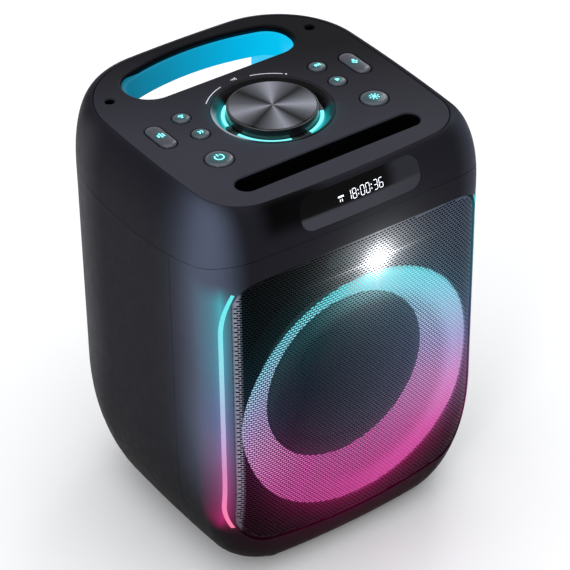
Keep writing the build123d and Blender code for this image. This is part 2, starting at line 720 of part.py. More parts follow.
with BuildPart() as board_screws:
    with BuildSketch(Plane.XY.offset(BOARD_TOP - BOARD_THICK - SCREW_HEAD_HEIGHT)):
        with Locations(*POSTS):
            Circle(SCREW_HEAD)
    extrude(amount=SCREW_HEAD_HEIGHT)
    with BuildSketch(Plane.XY.offset(BOARD_TOP - BOARD_THICK)):
        with Locations(*POSTS):
            Circle(SCREW_RADIUS)
    extrude(amount=BOARD_SCREW_LENGTH)
board_screws.part.label = "control_board_screws"
export_step(board_screws.part, "parts/control_board_screws.step")

with BuildPart() as panel_screws:
    seat = SLEEVE_BOTTOM + WELL_THICK
    with BuildSketch(Plane.XY.offset(seat)):
        with Locations(*PANEL_SCREWS):
            Circle(SCREW_HEAD)
    extrude(amount=SCREW_HEAD_HEIGHT)
    with BuildSketch(Plane.XY.offset(seat + SCREW_HEAD_HEIGHT)):
        with Locations(*PANEL_SCREWS):
            RegularPolygon(SCREW_RADIUS, 6)
    extrude(amount=-SCREW_RADIUS, mode=Mode.SUBTRACT)
    with BuildSketch(Plane.XY.offset(BOSS_BOTTOM)):
        with Locations(*PANEL_SCREWS):
            Circle(SCREW_RADIUS)
    extrude(amount=seat - BOSS_BOTTOM)
panel_screws.part.label = "panel_screws"
export_step(panel_screws.part, "parts/panel_screws.step")

# ===================================================================== front
with BuildPart() as grille_flange:
    add(flange_body)
    extrude(grille_outline(0.0), REACH, mode=Mode.INTERSECT)
    extrude(grille_outline(-GRILLE_THICK), REACH, mode=Mode.SUBTRACT)

with BuildPart() as front_grille:
    add(grille_face - grille_back)
    extrude(grille_outline(0.0), REACH, mode=Mode.INTERSECT)
    add(grille_flange.part)
front_grille.part.label = "front_grille"
export_step(front_grille.part, "parts/front_grille.step")

with BuildPart() as baffle_plate:
    add(inner)
    with BuildSketch(Plane.XZ.offset(-BAFFLE_FRONT_Y)):
        with Locations((0, BAFFLE_TOP / 2)):
            Rectangle(2 * REACH, BAFFLE_TOP)
    extrude(amount=-BAFFLE_THICK, mode=Mode.INTERSECT)

with BuildPart() as baffle_rim:
    add(rim_body)
    extrude(grille_outline(-GRILLE_THICK - FIT), REACH, mode=Mode.INTERSECT)
    extrude(grille_outline(-GRILLE_THICK - FIT - RIM_THICK), REACH, mode=Mode.SUBTRACT)
    with BuildSketch(Plane.XZ.offset(-BAFFLE_FRONT_Y)):
        Rectangle(3 * REACH, 6 * REACH)
    extrude(amount=-REACH, mode=Mode.SUBTRACT)

with BuildPart() as baffle:
    add(baffle_plate.part)
    add(baffle_rim.part)
    with BuildSketch(Plane.XZ.offset(-BAFFLE_FRONT_Y)):
        with Locations((0, RING_Z)):
            Circle(RING_OUTER + RIM_CLEAR)
    extrude(amount=REACH, mode=Mode.SUBTRACT)
    with BuildSketch(Plane.XZ):
        with Locations((0, RING_Z)):
            Circle(BAFFLE_HOLE)
            with PolarLocations(WOOFER_SCREW_CIRCLE, WOOFER_SCREWS, WOOFER_SCREW_START):
                Circle(SCREW_RADIUS)
    extrude(amount=REACH, mode=Mode.SUBTRACT)
baffle.part.label = "baffle"
export_step(baffle.part, "parts/baffle.step")

with BuildPart() as ring_diffuser:
    section = turned_profile((
        (RING_INNER, RING_BACK_Y + RING_SKIN),
        (RING_INNER, RING_BACK_Y),
        (RING_OUTER, RING_FRONT_Y),
        (RING_OUTER, BAFFLE_FRONT_Y),
        (RING_OUTER - RING_SKIN, BAFFLE_FRONT_Y),
        (RING_OUTER - RING_SKIN, RING_FRONT_Y + RING_LIP),
        (RING_INNER + RING_SKIN, RING_BACK_Y + RING_SKIN),
    ))
    revolve(section, axis=DRIVER_AXIS)
ring_diffuser.part.label = "light_ring_diffuser"
export_step(ring_diffuser.part, "parts/light_ring_diffuser.step")

with BuildPart() as ring_board:
    with BuildSketch(Plane.XZ.offset(-BAFFLE_FRONT_Y)):
        with Locations((0, RING_Z)):
            Circle(RING_BOARD_OUTER)
            Circle(RING_BOARD_INNER, mode=Mode.SUBTRACT)
    extrude(amount=BOARD_THICK)
    with BuildSketch(Plane.XZ.offset(-BAFFLE_FRONT_Y + BOARD_THICK)):
        with Locations((0, RING_Z)):
            with PolarLocations((RING_BOARD_OUTER + RING_BOARD_INNER) / 2, RING_LEDS):
                Rectangle(LED_SIDE, LED_SIDE)
    extrude(amount=LED_HEIGHT)
ring_board.part.label = "light_ring_board"
export_step(ring_board.part, "parts/light_ring_board.step")

for side, name in ((-1, "left_light_strip"), (1, "right_light_strip")):
    band = strip_band(side, 0.0)
    with BuildPart() as strip:
        add(band)
        add(strip_skin, mode=Mode.INTERSECT)
        with BuildSketch(Plane.XZ.offset(-STRIP_BACK_Y)):
            Rectangle(3 * REACH, 6 * REACH)
        extrude(amount=-REACH, mode=Mode.SUBTRACT)
    strip.part.label = name
    export_step(strip.part, f"parts/{name}.step")

with BuildPart() as strip_boards:
    with BuildSketch(Plane.XZ.offset(-BAFFLE_FRONT_Y)):
        with Locations((-STRIP_BOARD_X, STRIP_BOARD_Z), (STRIP_BOARD_X, STRIP_BOARD_Z)):
            Rectangle(STRIP_BOARD_WIDTH, STRIP_BOARD_LENGTH)
    extrude(amount=BOARD_THICK)
    with BuildSketch(Plane.XZ.offset(-BAFFLE_FRONT_Y + BOARD_THICK)):
        for side in (-1, 1):
            with Locations((side * STRIP_BOARD_X, STRIP_BOARD_Z)):
                with GridLocations(0, STRIP_BOARD_LENGTH / STRIP_LEDS, 1, STRIP_LEDS):
                    Rectangle(LED_SIDE, LED_SIDE)
    extrude(amount=LED_HEIGHT)
strip_boards.part.label = "strip_led_boards"
export_step(strip_boards.part, "parts/strip_led_boards.step")

with BuildPart() as strobe_reflector:
    with BuildSketch(Plane.XZ.offset(-BAFFLE_FRONT_Y)):
        with Locations((0, STROBE_Z)):
            SlotOverall(2 * STROBE_HALF + 2 * SLOT_WALL, STROBE_HEIGHT + 2 * SLOT_WALL)
    extrude(amount=STROBE_DEPTH)
    with BuildSketch(Plane.XZ.offset(-BAFFLE_FRONT_Y + STROBE_DEPTH)):
        with Locations((0, STROBE_Z)):
            SlotOverall(2 * STROBE_HALF, STROBE_HEIGHT)
    extrude(amount=SLOT_WALL - STROBE_DEPTH, taper=STROBE_TAPER, mode=Mode.SUBTRACT)
strobe_reflector.part.label = "strobe_reflector"
export_step(strobe_reflector.part, "parts/strobe_reflector.step")

with BuildPart() as strobe_led:
    with BuildSketch(Plane.XZ.offset(-BAFFLE_FRONT_Y + SLOT_WALL)):
        with Locations((-STROBE_LED_X, STROBE_Z), (STROBE_LED_X, STROBE_Z)):
            Rectangle(LED_SIDE, LED_SIDE)
    extrude(amount=LED_HEIGHT)
strobe_led.part.label = "strobe_leds"
export_step(strobe_led.part, "parts/strobe_leds.step")

with BuildPart() as strobe_lens:
    with BuildSketch(Plane.XZ.offset(-BAFFLE_FRONT_Y + STROBE_DEPTH)):
        with Locations((0, STROBE_Z)):
            SlotOverall(2 * STROBE_HALF + SLOT_WALL, STROBE_HEIGHT + SLOT_WALL)
    extrude(amount=SLOT_WALL)
    fillet(strobe_lens.faces().sort_by(Axis.Y)[0].edges(), PANEL_EDGE)
strobe_lens.part.label = "strobe_lens"
export_step(strobe_lens.part, "parts/strobe_lens.step")

window_plug = window_prism(0.0)
with BuildPart() as display_window:
    add(window_plug)
    add(window_skin, mode=Mode.INTERSECT)
display_window.part.label = "display_window"
export_step(display_window.part, "parts/display_window.step")

with BuildPart() as display_module:
    with BuildSketch(Plane.XZ.offset(DISPLAY_FRONT)):
        with Locations((0, DISPLAY_Z)):
            Rectangle(2 * DISPLAY_BOSS_X + DISPLAY_BOSS_WIDTH, DISPLAY_HEIGHT)
    extrude(amount=-BOARD_THICK)
    with BuildSketch(Plane.XZ.offset(DISPLAY_FRONT)):
        with Locations((0, DISPLAY_Z)):
            Rectangle(DISPLAY_DIGITS, DISPLAY_HEIGHT - 2 * BOARD_THICK)
    extrude(amount=DIGIT_BLOCK)
display_module.part.label = "display_module"
export_step(display_module.part, "parts/display_module.step")

# ==================================================================== woofer
with BuildPart() as woofer_basket:
    section = turned_profile((
        (BAFFLE_HOLE - RUN, FLANGE_FRONT_Y),
        (FLANGE_RADIUS, FLANGE_FRONT_Y),
        (FLANGE_RADIUS, FLANGE_FRONT_Y + FLANGE_THICK),
        (BAFFLE_HOLE - FIT, FLANGE_FRONT_Y + FLANGE_THICK),
        (BAFFLE_HOLE - FIT, FLANGE_FRONT_Y + BAFFLE_THICK),
        (MAGNET_RADIUS, BASKET_BACK_Y - BASKET_SKIN),
        (MAGNET_RADIUS, BASKET_BACK_Y),
        (BASKET_BORE, BASKET_BACK_Y),
        (BASKET_BORE, BASKET_BACK_Y - BASKET_SKIN),
        (MAGNET_RADIUS - BASKET_SKIN, BASKET_BACK_Y - BASKET_SKIN),
        (BAFFLE_HOLE - RUN, FLANGE_FRONT_Y + BAFFLE_THICK),
    ))
    revolve(section, axis=DRIVER_AXIS)
    with BuildSketch(Plane.XZ.offset(-WINDOW_START_Y)):
        with Locations((0, RING_Z)):
            with PolarLocations(MAGNET_RADIUS + BASKET_SKIN, WOOFER_SCREWS):
                Rectangle(MAGNET_RADIUS, 2 * COIL_RADIUS)
    extrude(amount=WINDOW_START_Y - WINDOW_END_Y, mode=Mode.SUBTRACT)
    with BuildSketch(Plane.XZ):
        with Locations((0, RING_Z)):
            with PolarLocations(WOOFER_SCREW_CIRCLE, WOOFER_SCREWS, WOOFER_SCREW_START):
                Circle(SCREW_RADIUS)
    extrude(amount=REACH, mode=Mode.SUBTRACT)
woofer_basket.part.label = "woofer_basket"
export_step(woofer_basket.part, "parts/woofer_basket.step")

with BuildPart() as woofer_screws:
    with BuildSketch(Plane.XZ.offset(-FLANGE_FRONT_Y)):
        with Locations((0, RING_Z)):
            with PolarLocations(WOOFER_SCREW_CIRCLE, WOOFER_SCREWS, WOOFER_SCREW_START):
                Circle(SCREW_RADIUS)
    extrude(amount=-WOOFER_SCREW_LENGTH)
    with BuildSketch(Plane.XZ.offset(-FLANGE_FRONT_Y)):
        with Locations((0, RING_Z)):
            with PolarLocations(WOOFER_SCREW_CIRCLE, WOOFER_SCREWS, WOOFER_SCREW_START):
                Circle(SCREW_HEAD)
    extrude(amount=WOOFER_HEAD)
woofer_screws.part.label = "woofer_screws"
export_step(woofer_screws.part, "parts/woofer_screws.step")

with BuildPart() as woofer_surround:
    with BuildSketch(Plane.XY.offset(RING_Z)):
        with Locations(((SURROUND_OUTER + CONE_RADIUS) / 2, FLANGE_FRONT_Y)):
            Circle((SURROUND_OUTER - CONE_RADIUS) / 2)
            Circle((SURROUND_OUTER - CONE_RADIUS) / 2 - SKIN, mode=Mode.SUBTRACT)
            with Locations((0, REACH / 2)):
                Rectangle(REACH, REACH, mode=Mode.SUBTRACT)
        with Locations((SURROUND_OUTER + SKIN / 2, FLANGE_FRONT_Y - SKIN / 2)):
            Rectangle(3 * SKIN, SKIN)
    revolve(axis=DRIVER_AXIS)
woofer_surround.part.label = "woofer_surround"
export_step(woofer_surround.part, "parts/woofer_surround.step")

with BuildPart() as woofer_cone:
    section = turned_profile((
        (CONE_RADIUS - FIT, FLANGE_FRONT_Y + SKIN),
        (CONE_RADIUS - FIT, FLANGE_FRONT_Y),
        (CONE_RADIUS - 2 * SKIN, FLANGE_FRONT_Y),
        (COIL_RADIUS + SKIN, CONE_NECK_Y - SKIN),
        (COIL_RADIUS + SKIN, CONE_NECK_Y),
        (CONE_RADIUS - 3 * SKIN, FLANGE_FRONT_Y + SKIN),
    ))
    revolve(section, axis=DRIVER_AXIS)
woofer_cone.part.label = "woofer_cone"
export_step(woofer_cone.part, "parts/woofer_cone.step")

# The dust cap is a shallow dome over the neck of the cone.
cap_front = []
for index in range(CAP_STEPS + 1):
    share = index / CAP_STEPS
    cap_front.append((CAP_RADIUS * share, CAP_EDGE_Y - CAP_DEPTH * (1 - share ** 2)))
cap_back = [(radius, y + SKIN) for radius, y in reversed(cap_front)]
with BuildPart() as woofer_cap:
    revolve(turned_profile(cap_front + cap_back), axis=DRIVER_AXIS)
woofer_cap.part.label = "woofer_dust_cap"
export_step(woofer_cap.part, "parts/woofer_dust_cap.step")

with BuildPart() as voice_coil:
    section = turned_profile((
        (COIL_RADIUS - COIL_WALL, CONE_NECK_Y - FIT),
        (COIL_RADIUS, CONE_NECK_Y - FIT),
        (COIL_RADIUS, COIL_WIND_FRONT_Y),
        (COIL_RADIUS + COIL_WALL, COIL_WIND_FRONT_Y),
        (COIL_RADIUS + COIL_WALL, COIL_WIND_BACK_Y),
        (COIL_RADIUS - COIL_WALL, COIL_WIND_BACK_Y),
    ))
    revolve(section, axis=DRIVER_AXIS)
voice_coil.part.label = "voice_coil"
export_step(voice_coil.part, "parts/voice_coil.step")

# The spider is a washer with round corrugations.
spider_step = (SPIDER_OUTER - COIL_RADIUS - FIT) / (2 * SPIDER_WAVES)
spider_front = []
for index in range(2 * SPIDER_WAVES + 1):
    spider_front.append((COIL_RADIUS + FIT + spider_step * index, SPIDER_Y + SPIDER_WAVE * (index % 2)))
spider_back = [(radius, y + SKIN) for radius, y in reversed(spider_front)]
with BuildPart() as woofer_spider:
    revolve(turned_profile(spider_front + spider_back), axis=DRIVER_AXIS)
woofer_spider.part.label = "woofer_spider"
export_step(woofer_spider.part, "parts/woofer_spider.step")

with BuildPart() as top_plate:
    section = turned_profile((
        (GAP_RADIUS, BASKET_BACK_Y),
        (MAGNET_RADIUS - BASKET_SKIN, BASKET_BACK_Y),
        (MAGNET_RADIUS - BASKET_SKIN, MAGNET_FRONT_Y),
        (GAP_RADIUS, MAGNET_FRONT_Y),
    ))
    revolve(section, axis=DRIVER_AXIS)
top_plate.part.label = "woofer_top_plate"
export_step(top_plate.part, "parts/woofer_top_plate.step")

with BuildPart() as magnet:
    section = turned_profile((
        (MAGNET_BORE, MAGNET_FRONT_Y),
        (MAGNET_RADIUS, MAGNET_FRONT_Y),
        (MAGNET_RADIUS, MAGNET_BACK_Y),
        (MAGNET_BORE, MAGNET_BACK_Y),
    ))
    revolve(section, axis=DRIVER_AXIS)
magnet.part.label = "woofer_magnet"
export_step(magnet.part, "parts/woofer_magnet.step")

with BuildPart() as pole_piece:
    section = turned_profile((
        (0, BASKET_BACK_Y),
        (POLE_RADIUS, BASKET_BACK_Y),
        (POLE_RADIUS, MAGNET_BACK_Y),
        (MAGNET_RADIUS - BASKET_SKIN, MAGNET_BACK_Y),
        (MAGNET_RADIUS - BASKET_SKIN, MAGNET_BACK_Y + BACK_PLATE),
        (0, MAGNET_BACK_Y + BACK_PLATE),
    ))
    revolve(section, axis=DRIVER_AXIS)
pole_piece.part.label = "woofer_pole_piece"
export_step(pole_piece.part, "parts/woofer_pole_piece.step")

# ====================================================================== back
with BuildPart() as port:
    section = turned_profile(
        (
            (PORT_RADIUS, PORT_MOUTH_Y - PORT_LENGTH),
            (PORT_RADIUS, PORT_MOUTH_Y - PORT_FLARE_DEPTH),
            (PORT_RADIUS + PORT_WALL, PORT_MOUTH_Y - PORT_FLARE_DEPTH / 2),
            (PORT_FLARE - PORT_WALL, PORT_MOUTH_Y),
            (PORT_FLARE, PORT_MOUTH_Y),
            (PORT_FLARE, PORT_FLANGE_Y),
            (PORT_FLANGE, PORT_FLANGE_Y),
            (PORT_FLANGE, PORT_FLANGE_Y - PORT_WALL),
            (PORT_FLARE - PORT_WALL, PORT_FLANGE_Y - PORT_WALL),
            (PORT_RADIUS + PORT_WALL, PORT_MOUTH_Y - PORT_FLARE_DEPTH),
            (PORT_RADIUS + PORT_WALL, PORT_MOUTH_Y - PORT_LENGTH),
        ),
        PORT_Z,
    )
    revolve(section, axis=PORT_AXIS)
port.part.label = "bass_port_tube"
export_step(port.part, "parts/bass_port_tube.step")

with BuildPart() as io_panel:
    with BuildSketch(Plane.XZ.offset(-IO_BACK_Y)):
        with Locations((0, IO_Z)):
            RectangleRounded(2 * (IO_HALF + IO_BORDER), 2 * (IO_HALF_HEIGHT + IO_BORDER), IO_BORDER)
        with Locations(*[(x, IO_Z) for x in MIC_X]):
            Circle(MIC_BODY, mode=Mode.SUBTRACT)
        with Locations((AUX_X, IO_Z)):
            Circle(AUX_BODY, mode=Mode.SUBTRACT)
        with Locations((USB_X, IO_Z)):
            Rectangle(USB_WIDTH, USB_HEIGHT, mode=Mode.SUBTRACT)
        with Locations((INLET_X, IO_Z)):
            SlotOverall(INLET_WIDTH, INLET_HEIGHT, mode=Mode.SUBTRACT)
        with Locations(*IO_SCREWS):
            Circle(SCREW_RADIUS, mode=Mode.SUBTRACT)
    extrude(amount=-IO_THICK)
    with BuildSketch(Plane.XZ.offset(-IO_FACE_Y)):
        with Locations((0, IO_Z)):
            RectangleRounded(2 * (IO_HALF - FIT), 2 * (IO_HALF_HEIGHT - FIT), IO_BORDER - FIT)
            inside = IO_RIM_WALL + FIT
            RectangleRounded(
                2 * (IO_HALF - inside), 2 * (IO_HALF_HEIGHT - inside), IO_BORDER - inside, mode=Mode.SUBTRACT
            )
    extrude(amount=IO_FACE_Y - IO_RIM_Y)
io_panel.part.label = "rear_socket_panel"
export_step(io_panel.part, "parts/rear_socket_panel.step")

with BuildPart() as io_screws:
    with BuildSketch(Plane.XZ.offset(-IO_BACK_Y - IO_THICK)):
        with Locations(*IO_SCREWS):
            Circle(SCREW_HEAD)
    extrude(amount=-WOOFER_HEAD)
    with BuildSketch(Plane.XZ.offset(-IO_BACK_Y - IO_THICK)):
        with Locations(*IO_SCREWS):
            Circle(SCREW_RADIUS)
    extrude(amount=BOARD_SCREW_LENGTH)
io_screws.part.label = "socket_panel_screws"
export_step(io_screws.part, "parts/socket_panel_screws.step")

with BuildPart() as io_board:
    with BuildSketch(Plane.XZ.offset(-IO_BOARD_Y)):
        with Locations((0, IO_Z)):
            Rectangle(2 * IO_HALF, 2 * IO_HALF_HEIGHT)
    extrude(amount=-BOARD_THICK)
io_board.part.label = "socket_board"
export_step(io_board.part, "parts/socket_board.step")

with BuildPart() as mic_sockets:
    with BuildSketch(Plane.XZ.offset(-IO_BOARD_Y - BOARD_THICK)):
        with Locations(*[(x, IO_Z) for x in MIC_X]):
            Circle(MIC_BODY)
    extrude(amount=IO_BOARD_Y + BOARD_THICK - IO_FACE_Y)
    with BuildSketch(Plane.XZ.offset(-IO_FACE_Y)):
        with Locations(*[(x, IO_Z) for x in MIC_X]):
            Circle(MIC_BORE)
    extrude(amount=MIC_DEPTH, mode=Mode.SUBTRACT)
mic_sockets.part.label = "microphone_sockets"
export_step(mic_sockets.part, "parts/microphone_sockets.step")

with BuildPart() as aux_socket:
    with BuildSketch(Plane.XZ.offset(-IO_BOARD_Y - BOARD_THICK)):
        with Locations((AUX_X, IO_Z)):
            Circle(AUX_BODY)
    extrude(amount=IO_BOARD_Y + BOARD_THICK - IO_FACE_Y)
    with BuildSketch(Plane.XZ.offset(-IO_FACE_Y)):
        with Locations((AUX_X, IO_Z)):
            Circle(AUX_BORE)
    extrude(amount=AUX_DEPTH, mode=Mode.SUBTRACT)
aux_socket.part.label = "aux_socket"
export_step(aux_socket.part, "parts/aux_socket.step")

with BuildPart() as usb_socket:
    with BuildSketch(Plane.XZ.offset(-IO_BOARD_Y - BOARD_THICK)):
        with Locations((USB_X, IO_Z)):
            Rectangle(USB_WIDTH, USB_HEIGHT)
    extrude(amount=IO_BOARD_Y + BOARD_THICK - IO_FACE_Y)
    with BuildSketch(Plane.XZ.offset(-IO_FACE_Y)):
        with Locations((USB_X, IO_Z)):
            Rectangle(USB_WIDTH - USB_SKIN, USB_HEIGHT - USB_SKIN)
        with Locations((USB_X, IO_Z + USB_TONGUE)):
            Rectangle(USB_WIDTH - 3 * USB_SKIN, USB_TONGUE, mode=Mode.SUBTRACT)
    extrude(amount=MIC_DEPTH, mode=Mode.SUBTRACT)
usb_socket.part.label = "usb_socket"
export_step(usb_socket.part, "parts/usb_socket.step")

with BuildPart() as power_inlet:
    with BuildSketch(Plane.XZ.offset(-IO_BOARD_Y - BOARD_THICK)):
        with Locations((INLET_X, IO_Z)):
            SlotOverall(INLET_WIDTH, INLET_HEIGHT)
    extrude(amount=IO_BOARD_Y + BOARD_THICK - IO_FACE_Y)
    with BuildSketch(Plane.XZ.offset(-IO_FACE_Y)):
        with Locations((INLET_X, IO_Z)):
            SlotOverall(INLET_WIDTH - 2 * IO_THICK, INLET_HEIGHT - 2 * IO_THICK)
        with Locations((INLET_X - PIN_X, IO_Z), (INLET_X + PIN_X, IO_Z)):
            Circle(PIN_RADIUS, mode=Mode.SUBTRACT)
    extrude(amount=AUX_DEPTH, mode=Mode.SUBTRACT)
power_inlet.part.label = "power_inlet"
export_step(power_inlet.part, "parts/power_inlet.step")

# =============================================================== electronics
with BuildPart() as battery_tray:
    with BuildSketch(Plane.XY.offset(TRAY_FLOOR_Z)):
        RectangleRounded(TRAY_WIDTH, TRAY_DEPTH, IO_BORDER)
    extrude(amount=CELL_Z - TRAY_FLOOR_Z)
    with BuildSketch(Plane.XZ.offset(CELL_LENGTH / 2)):
        with Locations((0, CELL_Z)):
            with GridLocations(CELL_PITCH, 0, CELL_COUNT, 1):
                Circle(CELL_RADIUS)
    extrude(amount=-CELL_LENGTH, mode=Mode.SUBTRACT)
battery_tray.part.label = "battery_tray"
export_step(battery_tray.part, "parts/battery_tray.step")

with BuildPart() as battery_cells:
    with BuildSketch(Plane.XZ.offset(CELL_LENGTH / 2)):
        with Locations((0, CELL_Z)):
            with GridLocations(CELL_PITCH, 0, CELL_COUNT, 1):
                Circle(CELL_RADIUS)
    extrude(amount=-CELL_LENGTH)
battery_cells.part.label = "battery_cells"
export_step(battery_cells.part, "parts/battery_cells.step")

with BuildPart() as board_pillars:
    with BuildSketch(Plane.XY.offset(TRAY_FLOOR_Z)):
        with Locations(*PILLARS):
            Circle(POST_RADIUS)
    extrude(amount=MAIN_BOARD_Z - TRAY_FLOOR_Z)
board_pillars.part.label = "main_board_pillars"
export_step(board_pillars.part, "parts/main_board_pillars.step")

with BuildPart() as main_board:
    with BuildSketch(Plane.XY.offset(MAIN_BOARD_Z)):
        with Locations((0, (MAIN_BOARD_FRONT_Y + MAIN_BOARD_REAR_Y) / 2)):
            RectangleRounded(2 * MAIN_BOARD_HALF, MAIN_BOARD_REAR_Y - MAIN_BOARD_FRONT_Y, POST_RADIUS)
    extrude(amount=BOARD_THICK)
    with BuildSketch(Plane.XY.offset(MAIN_BOARD_Z + BOARD_THICK)):
        with Locations((0, SINK_Y)):
            with GridLocations(2 * CAPACITOR_X, SINK_DEPTH / 2, 2, 2):
                Circle(CAPACITOR_RADIUS)
    extrude(amount=SINK_HEIGHT)
main_board.part.label = "main_board"
export_step(main_board.part, "parts/main_board.step")

with BuildPart() as heat_sink:
    with BuildSketch(Plane.XY.offset(MAIN_BOARD_Z + BOARD_THICK)):
        with Locations((0, SINK_Y)):
            Rectangle(SINK_WIDTH, SINK_DEPTH)
    extrude(amount=SINK_HEIGHT)
    with BuildSketch(Plane.XY.offset(MAIN_BOARD_Z + BOARD_THICK + POST_RADIUS)):
        with Locations((0, SINK_Y)):
            with GridLocations(SINK_PITCH, 0, SINK_SLOTS, 1):
                Rectangle(SINK_PITCH / 2, SINK_DEPTH)
    extrude(amount=SINK_HEIGHT, mode=Mode.SUBTRACT)
heat_sink.part.label = "amplifier_heat_sink"
export_step(heat_sink.part, "parts/amplifier_heat_sink.step")

# ====================================================================== feet
with BuildPart() as feet:
    with BuildSketch():
        with Locations(*FEET):
            Circle(FOOT_RADIUS)
    extrude(amount=FOOT_HEIGHT)
    fillet(feet.faces().filter_by(Plane.XY).group_by(Axis.Z)[0].edges(), PANEL_EDGE)
    with BuildSketch():
        with Locations(*FEET):
            Circle(SCREW_HEAD + SHELL_GAP)
    extrude(amount=FOOT_SEAT, mode=Mode.SUBTRACT)
    with BuildSketch():
        with Locations(*FEET):
            Circle(SCREW_RADIUS)
    extrude(amount=FOOT_HEIGHT, mode=Mode.SUBTRACT)
feet.part.label = "rubber_feet"
export_step(feet.part, "parts/rubber_feet.step")

with BuildPart() as foot_screws:
    with BuildSketch(Plane.XY.offset(FOOT_SEAT)):
        with Locations(*FEET):
            Circle(SCREW_HEAD)
    extrude(amount=-FOOT_HEAD)
    with BuildSketch(Plane.XY.offset(FOOT_SEAT)):
        with Locations(*FEET):
            Circle(SCREW_RADIUS)
    extrude(amount=BOARD_SCREW_LENGTH)
foot_screws.part.label = "foot_screws"
export_step(foot_screws.part, "parts/foot_screws.step")
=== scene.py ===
import math

import bmesh
import bpy
from mathutils import Matrix, Vector
from mathutils.bvhtree import BVHTree


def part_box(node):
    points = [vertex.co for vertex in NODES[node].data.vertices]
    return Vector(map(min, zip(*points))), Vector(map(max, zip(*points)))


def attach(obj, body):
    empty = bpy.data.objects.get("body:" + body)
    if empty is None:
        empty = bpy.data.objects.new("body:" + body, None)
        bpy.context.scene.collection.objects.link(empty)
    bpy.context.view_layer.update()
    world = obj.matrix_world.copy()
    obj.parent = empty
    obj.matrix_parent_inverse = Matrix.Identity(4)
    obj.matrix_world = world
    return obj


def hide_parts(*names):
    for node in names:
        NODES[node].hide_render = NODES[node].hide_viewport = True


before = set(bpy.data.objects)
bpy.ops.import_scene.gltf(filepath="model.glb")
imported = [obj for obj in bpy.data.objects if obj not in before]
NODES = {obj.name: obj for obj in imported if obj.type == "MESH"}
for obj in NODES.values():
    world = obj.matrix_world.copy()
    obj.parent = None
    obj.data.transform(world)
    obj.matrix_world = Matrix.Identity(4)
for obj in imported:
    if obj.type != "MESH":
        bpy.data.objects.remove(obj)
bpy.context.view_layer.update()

# Places in the row frame, in metres, as in the CAD model.
PANEL_Z = 0.345
KNOB_CENTRE = (0.0, -0.0115)
RING_Z = 0.154
RING_INNER = 0.073
RING_OUTER = 0.104
STRIP_X = 0.1161
STRIP_LOW = 0.060
STRIP_HIGH = 0.283
FLARE = (0.0125, 0.269)
ARC_RADIUS = 0.0369
ARC_HALF = 0.0016
ARCS = ((125.0, 171.0), (192.0, 257.0), (283.0, 332.0))
BUTTONS = {
    "power": (-0.0697, -0.044, 0.021, 0.021),
    "light": (0.0697, -0.044, 0.021, 0.021),
    "mode": (-0.062, -0.0084, 0.0135, 0.0135),
    "pairing": (-0.0618, 0.0175, 0.0135, 0.0135),
    "play": (0.062, -0.0084, 0.0135, 0.0135),
    "skip": (0.0618, 0.0175, 0.0135, 0.0135),
    "bass": (-0.088, 0.0048, 0.013, 0.032),
    "voice": (0.088, 0.0048, 0.013, 0.032),
}


def linear(red, green, blue):
    """A display colour, 0 to 255, as linear light with alpha."""
    values = []
    for value in (red, green, blue):
        share = value / 255
        values.append(share / 12.92 if share <= 0.04045 else ((share + 0.055) / 1.055) ** 2.4)
    return (*values, 1.0)


# The light's colour by height, for the ring, the strips and what they shine on.
TEAL = linear(78, 205, 210)
SKY = linear(118, 196, 212)
MIST = linear(150, 176, 204)
LAVENDER = linear(162, 152, 196)
ORCHID = linear(196, 122, 180)
MAGENTA = linear(194, 78, 154)
ROSE = linear(184, 68, 144)
HEIGHT_STOPS = (
    (0.250, TEAL), (0.215, SKY), (0.180, MIST), (0.155, LAVENDER),
    (0.120, ORCHID), (0.085, MAGENTA), (0.055, ROSE),
)
# What the same light looks like on a dark surface: deeper.
SPILL_STOPS = (
    (0.270, linear(0, 150, 158)), (0.215, linear(40, 140, 160)), (0.165, linear(90, 96, 150)),
    (0.120, linear(150, 50, 120)), (0.060, linear(170, 16, 96)),
)


